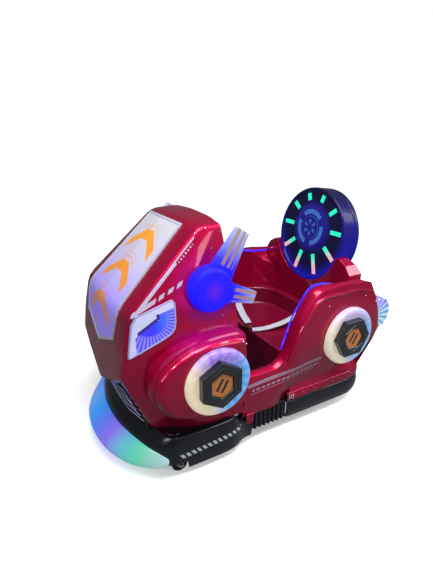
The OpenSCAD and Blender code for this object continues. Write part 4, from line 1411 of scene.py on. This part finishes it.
@dataclass
class CornerLights:
    """Lamp rings with hexagon caps, ear lamps and tail lamps."""

    cap_sink: float = 6.0
    rim_share: float = 0.8
    rim_tube: float = 2.4
    rim_start: float = -45.0

    def build(self) -> None:
        """The lights of both sides."""
        for side in Side:
            for end in ("front", "rear"):
                ring = f"{end}_ring_{side.tag}"
                Mould.copy(f"{ring}_lens", ring, f"{end}_ring_lens", slot="ring_lens")
                self.cap(f"{end}_hex_{side.tag}", side)
            for lamp, bevel in (("ear", (50, 2.0)), ("tail", (60, 8, 4))):
                node = f"{lamp}_lamp_{side.tag}"
                Mould.copy(f"{node}_lens", node, f"{lamp}_lens", bevel)

    def cap(self, node: str, side: Side) -> None:
        """A bevelled hexagon cap with an amber plate on the floor of its recess and a raised rim.

        Args:
            node: The cap's CAD node.
            side: The side it is on.
        """
        lo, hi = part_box(node)
        face = hi.y if side is Side.LEFT else lo.y
        floor = face - side.value * self.cap_sink * MM
        cap = Mould.of_nodes(f"{node}_cap", node).flatten().mark(
            lambda f: abs(f.normal.y) > 0.95 and abs(f.calc_center_median().y - floor) < 0.5 * MM)
        cap.pane(f"{node}_plate", 0.4, 3.6).finish("cap_amber", "cap_black", closed=False)
        cap.bevel(40, 3.0, 3).finish("cap_black", stands_for=[node])
        middle = (lo + hi) / 2 / MM
        radius = (hi.z - lo.z) / 2 / MM * self.rim_share
        rim = Mould(f"{node}_rim")
        rim.hoop((middle.x, face / MM, middle.z), ASIDE, radius, self.rim_tube, self.rim_start, steps=6)
        rim.finish("cap_black")


@dataclass
class Headrest:
    """The lit disc behind the seat."""

    back_at: Pair = (0.5, 881.0)
    back_rings: Pair = (112.0, 196.0)
    screw_circle: float = 156.0
    screw_count: int = 8

    def build(self) -> None:
        """Disc and bars, with two beads, a hub cap and a circle of screws on the disc's back."""
        Mould.copy("headrest_disc_body", "headrest_disc", "disc_navy", (40, 1.5))
        Mould.copy("headrest_bars", "disc_bars", "bar_teal", (40, 1.0))
        place, normal = Surface.of("headrest_disc").behind(*self.back_at)
        up = normal.cross(ASIDE).normalized()
        beads, screws = Mould("disc_back_beads"), Mould("disc_back_screws")
        for radius in self.back_rings:
            beads.hoop(place, normal, radius, 3.5, steps=72)
        beads.cone(place - normal, normal, 52, 9, 46, 48)
        for k in range(self.screw_count):
            turn = 2 * math.pi * (k + 0.5) / self.screw_count
            spot = place + (ASIDE * math.cos(turn) + up * math.sin(turn)) * self.screw_circle
            screws.cone(spot - normal * 0.4, normal, 5.5, 3, 4, 12)
        beads.finish("cap_black")
        screws.finish("screw_steel", "disc_navy")


@dataclass
class Cockpit:
    """Seat, light strips, dash, steering, pedal, floor and lap belt."""

    dial_r: float = 42.0
    dial_at: Pair = (104.0, 836.0)
    dial_ticks: int = 9
    dial_sweep: float = 240.0
    pointer_turn: float = -70.0
    button_z: float = 806.0
    buttons: tuple[tuple[str, str, float], ...] = (
        ("left", "button_blue", -34.0), ("start", "button_red", 0.0), ("right", "button_blue", 34.0))
    display_z: float = 926.0
    display_size: Pair = (170.0, 64.0)
    display_rim: float = 18.0
    speaker_at: Pair = (214.0, 690.0)
    speaker_rings: tuple[float, ...] = (14.0, 28.0, 42.0, 58.0)
    wheel_centre: Point = (90.0, 0.0, 640.0)
    wheel_axis: Point = (-0.819, 0.0, 0.574)
    hub_lift: float = 14.5
    mat_start: Point = (-84.0, 0.0, 165.2)
    mat_pitch: float = 20.0
    mat_ribs: int = 17
    mat_rib: Point = (8.0, 500.0, 3.6)
    pedal_run: tuple[float, ...] = (292.0, 312.0, 332.0, 352.0, 372.0)
    pedal_rib: Pair = (6.0, 3.6)
    pedal_edge: float = 14.0
    buckle_at: Point = (-126.0, 10.0, 409.5)
    strip_r: float = 5.0
    strip_ends: tuple[Point, ...] = (
        (-326.0, 342.0, 728.6), (-352.0, 342.0, 724.0), (-382.0, 342.5, 719.5), (-420.0, 343.0, 716.5),
        (-474.0, 344.5, 714.0))

    def build(self) -> None:
        """Everything the driver touches."""
        Mould.copy("seat_moulding", "seat", "seat_red", (30, 16, 4))
        Mould.copy("rim_light_strips", "led_strips", "led_blue")
        ends = Mould("rim_light_ends")
        for side in Side:
            ends.rail([side.at(*point) for point in self.strip_ends], self.strip_r)
        ends.finish("led_blue")
        self.floor()
        self.dash()
        self.dials()
        self.speakers()
        self.steering()
        self.pedal()
        self.belt()

    def floor(self) -> None:
        """Floor plate with the ribs of its mat."""
        Mould.copy("floor_plate", "floor_pan", "floor_mat", (40, 1.0))
        ribs = Mould("mat_ribs")
        for k in range(self.mat_ribs):
            ribs.block(Vector(self.mat_start) + AHEAD * k * self.mat_pitch, self.mat_rib)
        ribs.bevel(50, 1.2).finish("floor_mat")

    def dash(self) -> None:
        """Dash with a display and a row of buttons."""
        Mould.copy("dash_board", "dash_panel", "dash_black", (40, 2.0))
        Mould.copy("column_tube", "steering_column", "dash_black")
        x = self.dash_face()
        wide, high = self.display_size
        screen = Mould("display_frame").block((x - 3, 0, self.display_z), (10, wide, high))
        screen.round_posts(AHEAD, 12).bevel(50, 2.5, 3).finish("cap_black", "dash_black")
        size = (2, wide - self.display_rim, high - self.display_rim)
        pane = Mould("display_pane").block((x - 7.6, 0, self.display_z), size)
        pane.round_posts(AHEAD, 6).bevel(50, 0.5).finish("display_glass", "dash_black")
        bezels = Mould("button_bezels")
        for tag, paint, y in self.buttons:
            bezels.hoop((x - 2, y, self.button_z), AHEAD, 13, 2.4, steps=32)
            button = Mould(f"{tag}_button").cone((x, y, self.button_z), BACK, 12, 7, 10, 24)
            button.bevel(40, 1.5).finish(paint, "dash_black")
        bezels.finish("screw_steel", "dash_black")

    @staticmethod
    def dash_face() -> float:
        """Where the dash's face is along the car."""
        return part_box("dash_panel")[0].x / MM

    def dials(self) -> None:
        """Two plain dials with ticks and a pointer."""
        bezels, faces = Mould("dial_bezels"), Mould("dial_faces")
        ticks, pointers = Mould("dial_ticks"), Mould("dial_pointers")
        for side in Side:
            middle = side.at(self.dash_face(), *self.dial_at)
            bezels.hoop(middle + BACK * 3, AHEAD, self.dial_r, 4.5)
            faces.cone(middle, BACK, self.dial_r, 2, segments=40)
            for k in range(self.dial_ticks):
                degrees = self.dial_sweep * (k / (self.dial_ticks - 1) - 0.5)
                turn = Matrix.Rotation(math.radians(degrees), 4, "X")
                ticks.block(middle + turn @ Vector((-2.4, 0, self.dial_r - 10)), (1.2, 2.6, 8), turn)
            turn = Matrix.Rotation(math.radians(self.pointer_turn), 4, "X")
            pointers.block(middle + turn @ Vector((-3.2, 0, 12)), (1.4, 2.6, 36), turn)
            pointers.cone(middle + BACK * 1.6, BACK, 5, 3, 4, 16)
        bezels.finish("screw_steel", "dash_black")
        faces.finish("cap_black", "dash_black")
        ticks.finish("slat_white", "dash_black")
        pointers.finish("button_red", "dash_black")

    def speakers(self) -> None:
        """Two round speaker grilles: rings held by three bars over a dark cone."""
        grilles, cones = Mould("speaker_grilles"), Mould("speaker_cones")
        outer = self.speaker_rings[-1]
        for side in Side:
            middle = side.at(self.dash_face() - 3, *self.speaker_at)
            for radius in self.speaker_rings:
                grilles.hoop(middle, AHEAD, radius, 5.0 if radius == outer else 2.4)
            for degrees in (0, 60, 120):
                turn = Matrix.Rotation(math.radians(degrees), 4, "X")
                grilles.block(middle, (3, 4, 2 * outer), turn)
            cones.cone(middle + AHEAD * 4, BACK, outer, 2.5, 20, 40)
        grilles.finish("wheel_black", "dash_black")
        cones.finish("cap_black", "dash_black")

    def steering(self) -> None:
        """Steering wheel with a hub cap."""
        body = "steering_wheel_body"
        Mould.copy("steering_wheel_rim", "steering_wheel", "wheel_black", body=body)
        axis = Vector(self.wheel_axis)
        cap = Mould("steering_hub_cap")
        cap.cone(Vector(self.wheel_centre) + axis * self.hub_lift, axis, 30, 8, 24, 32)
        cap.bevel(40, 2).finish("button_red", "wheel_black", body)

    def pedal(self) -> None:
        """Pedal with grip ribs."""
        Mould.copy("pedal_plate", "pedal", "dash_black", (40, 2.0))
        plate = Surface.of("pedal")
        lo, hi = (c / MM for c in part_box("pedal"))
        thick, high = self.pedal_rib
        ribs = Mould("pedal_ribs")
        for x in self.pedal_run:
            hit = plate.hit((x, (lo.y + hi.y) / 2, 400), (0, 0, -1))
            if hit:
                turn = UP.rotation_difference(hit[1]).to_matrix().to_4x4()
                ribs.block(hit[0] + hit[1] * 0.8, (thick, hi.y - lo.y - self.pedal_edge, high), turn)
        ribs.bevel(50, 1.0).finish("wheel_black", "dash_black")

    def belt(self) -> None:
        """Lap belt and its latch with a release button."""
        strap = Mould.of_nodes("lap_belt", "seat_belt").flatten()
        strap.finish("webbing", stands_for=["seat_belt"], sharp=50)
        Mould.copy("belt_latch", "belt_buckle", "buckle_black", (40, 2.0))
        release = Mould("belt_release").cone(self.buckle_at, UP, 10, 3.5, 8, 24)
        release.bevel(40, 0.8).finish("button_red", "buckle_black")


@dataclass
class Tail:
    """Reflectors and charging cap at the back."""

    reflector_at: Pair = (196.0, 440.0)
    reflector_r: float = 27.0
    cap_at: Pair = (120.0, 300.0)
    cap_r: float = 30.0

    def build(self) -> None:
        """The small pieces of the tail."""
        tub = Surface.of("tub_tail_left", "tub_tail_right")
        bezels, lenses = Mould("reflector_bezels"), Mould("reflector_lenses")
        for side in Side:
            y, z = self.reflector_at
            place, normal = tub.behind(side.value * y, z)
            bezels.hoop(place, normal, self.reflector_r, 4)
            lenses.cone(place - normal, normal, self.reflector_r, 6, self.reflector_r - 4, 32)
        bezels.finish("screw_steel", "candy_red")
        lenses.finish("reflector_red", "candy_red")
        place, normal = tub.behind(*self.cap_at)
        cap = Mould("charging_cap").cone(place - normal, normal, self.cap_r, 8, self.cap_r - 3, 40)
        cap.bevel(40, 1.5).hoop(place, normal, self.cap_r + 5, 3.5).finish("cap_black")


@dataclass
class RunningGear:
    """Frame, battery, drives, wheels and casters."""

    bolt_r: float = 5.0
    bolt_count: int = 5
    bolt_circle: float = 34.0

    def build(self) -> None:
        """Everything under the floor."""
        Mould.copy("chassis_frame_piece", "chassis_frame", "frame_steel", (60, 3.0))
        Mould.copy("battery_piece", "battery", "battery_case", (60, 5.0))
        for side in Side:
            drive, fork = f"drive_unit_{side.tag}", f"caster_fork_{side.tag}"
            Mould.copy(f"{drive}_piece", drive, "motor_steel", (60, 1.5))
            for kind, paint in (("rear", "drive_tyre"), ("caster", "caster_tyre")):
                wheel = f"{kind}_wheel_{side.tag}"
                Mould.copy(f"{wheel}_tyre", wheel, paint, body=f"{wheel}_body")
                if kind == "rear":
                    self.bolts(side)
            Mould.copy(f"{fork}_piece", fork, "fork_steel", (60, 1.0), body=f"caster_{side.tag}_body")
            self.axle(side)

    def axle(self, side: Side) -> None:
        """Heads of a caster's axle on both legs of its fork.

        Args:
            side: The side to build.
        """
        lo, hi = (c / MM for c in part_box(f"caster_fork_{side.tag}"))
        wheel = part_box(f"caster_wheel_{side.tag}")
        x, _, z = (wheel[0] + wheel[1]) / 2 / MM
        heads = Mould(f"caster_axle_{side.tag}")
        for y, way in ((hi.y - 0.5, (0, 1, 0)), (lo.y + 0.5, (0, -1, 0))):
            heads.cone((x, y, z), way, 8, 3.5, 7, 6)
        heads.finish("screw_steel", "fork_steel", f"caster_{side.tag}_body")

    def bolts(self, side: Side) -> None:
        """Bolts on the outer face of a drive wheel.

        Args:
            side: The side to build.
        """
        node = f"rear_wheel_{side.tag}"
        lo, hi = (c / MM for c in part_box(node))
        middle = (lo + hi) / 2
        out = Vector((0, side.value, 0))
        face = Surface.of(node)
        bolts = Mould(f"{node}_bolts")
        for k in range(self.bolt_count):
            turn = 2 * math.pi * k / self.bolt_count
            spot = middle + Vector((math.cos(turn), 0, math.sin(turn))) * self.bolt_circle
            hit = face.hit(spot + out * 200, -out)
            if hit:
                bolts.cone(hit[0] - out * 0.5, out, self.bolt_r, 3.5, segments=6)
        bolts.finish("screw_steel", "drive_tyre", f"{node}_body")


@dataclass
class Fasteners:
    """Screw heads set on the shells."""

    head_r: float = 3.9
    head_h: float = 2.2
    head_share: float = 0.7
    sink: float = 0.4
    skirt: tuple[Pair, ...] = ((-203.0, 188.0), (-271.0, 190.0), (-400.0, 190.0), (-531.0, 196.0))
    fender: tuple[Pair, ...] = ((206.0, 604.0), (188.0, 588.0))
    tub: tuple[Pair, ...] = ((-300.0, 640.0), (-560.0, 640.0), (-250.0, 560.0))
    cowl: tuple[Pair, ...] = ((262.0, 968.0), (246.0, 690.0))

    def build(self) -> None:
        """Screws on skirt, fenders, tub and cowl."""
        for side in Side:
            heads = Mould(f"screws_{side.tag}")
            for nodes, places in (
                (["rear_skirt"], self.skirt), ([f"fender_{side.tag}"], self.fender),
                ([f"tub_side_{side.tag}", f"tub_tail_{side.tag}"], self.tub), (["front_cowl"], self.cowl),
            ):
                surface = Surface.of(*nodes)
                for hit in (surface.beside(side, x, z) for x, z in places):
                    if hit:
                        foot, height = hit[0] - hit[1] * self.sink, self.head_h + self.sink
                        heads.cone(foot, hit[1], self.head_r, height, self.head_r * self.head_share, 12)
            heads.finish("screw_steel", "candy_red")


@dataclass
class Stage:
    """Pale floor, soft light and the photo's camera. Its sizes are in metres."""

    eye: Point = (1.064, 1.730, 1.420)
    heading: float = 60.4
    pitch: float = 20.7
    sensor: float = 36.0
    focal: float = 420.0 / 577.0 * 36.0
    floor_size: float = 30.0
    floor_fade: float = 3.0
    floor_lift: Rgba = (0.3, 0.3, 0.3, 1.0)
    floor_colour: Rgba = (0.8, 0.8, 0.81, 1.0)
    floor_shade: Rgba = (0.1, 0.1, 0.12, 1.0)
    room: Rgba = (0.07, 0.075, 0.095, 1.0)
    mirrored: float = 0.08
    aim: Point = (0.0, 0.0, 0.5)
    lights: tuple[tuple[str, Point, float, float], ...] = (
        ("overhead", (0.3, 0.7, 3.2), 1.4, 66.0), ("key", (-1.4, 3.2, 1.3), 1.0, 22.0),
        ("front", (3.4, 0.9, 1.9), 0.8, 18.0), ("back", (-2.8, 1.6, 2.6), 1.2, 50.0),
        *((f"spot_{k}", (1.9 - 0.9 * k, 1.3, 2.9), 0.12, 14.0) for k in range(5)))

    def build(self) -> None:
        """Floor, world, lights and camera."""
        self.floor()
        self.world()
        for name, place, size, power in self.lights:
            lamp = bpy.data.lights.new(name, "AREA")
            lamp.size = size
            lamp.energy = power
            self.place(name, lamp, place, Vector(self.aim) - Vector(place))
        self.camera()

    def floor(self) -> None:
        """A pale floor that keeps the shadow and turns white away from the car."""
        bm = bmesh.new()
        bmesh.ops.create_grid(bm, x_segments=1, y_segments=1, size=self.floor_size)
        mesh = bpy.data.meshes.new("floor")
        bm.to_mesh(mesh)
        bm.free()
        obj = bpy.data.objects.new("floor", mesh)
        bpy.context.scene.collection.objects.link(obj)
        g = Finish("floor", self.floor_colour, 0.8, shade=0.01, grain=30.0, depth=0.02).graph()
        x, y, _ = g.axes()
        seen = self.seen(g)
        lift = g.ramp(g.away(x, y) / (self.floor_fade / MM), (0.1, self.floor_lift), (0.75, WHITE))
        g.surface({
            "Base Color": g.mix(seen, self.floor_shade, self.floor_colour),
            "Emission Color": g.mix(seen, BLACK, lift), "Emission Strength": 1.0,
        })
        mesh.materials.append(g.material)

    def world(self) -> None:
        """Soft grey light, white to the camera and in part to mirrors."""
        world = bpy.data.worlds.new("studio")
        bpy.context.scene.world = world
        world.use_nodes = True
        g = Graph.of_tree(world.node_tree)
        g.feed(g.tree.nodes["Background"].inputs["Color"], g.mix(self.seen(g), self.room, WHITE))

    def seen(self, g: Graph) -> Sock:
        """How far a surface is seen.

        Args:
            g: The graph to add to.

        Returns:
            1 for the camera or through glass, and a share of it for a mirror.
        """
        path = g.add("ShaderNodeLightPath")
        mirror = g.out(path, "Is Glossy Ray") * self.mirrored
        return g.most(g.out(path, "Is Camera Ray"), mirror, g.out(path, "Is Transmission Ray"))

    @staticmethod
    def place(name: str, data: bpy.types.ID, place: Point, way: Vector) -> bpy.types.Object:
        """Sets a light or camera in the scene.

        Args:
            name: The object's name.
            data: The light or camera.
            place: Where it stands.
            way: The way it looks.

        Returns:
            The object.
        """
        obj = bpy.data.objects.new(name, data)
        obj.location = place
        obj.rotation_euler = way.to_track_quat("-Z", "Y").to_euler()
        bpy.context.scene.collection.objects.link(obj)
        return obj

    def camera(self) -> None:
        """The photo's camera."""
        data = bpy.data.cameras.new("photo")
        data.lens = self.focal
        data.sensor_width = self.sensor
        pitch, heading = math.radians(self.pitch), math.radians(self.heading)
        level = math.cos(pitch)
        way = Vector((-math.cos(heading) * level, -math.sin(heading) * level, -math.sin(pitch)))
        bpy.context.scene.camera = self.place("photo", data, self.eye, way)


def main() -> None:
    """Makes the finishes and builds the classes in order."""
    logging.basicConfig(level=logging.INFO, format="%(name)s: %(message)s")
    bpy.context.scene.view_settings.view_transform = "Standard"
    Mould.paints = {finish.name: finish.make() for finish in palette()}
    parts = (BodyShells, NoseLights, CornerLights, Headrest, Cockpit, Tail, RunningGear, Fasteners, Stage)
    for part in parts:
        part().build()


if __name__ == "__main__":
    main()
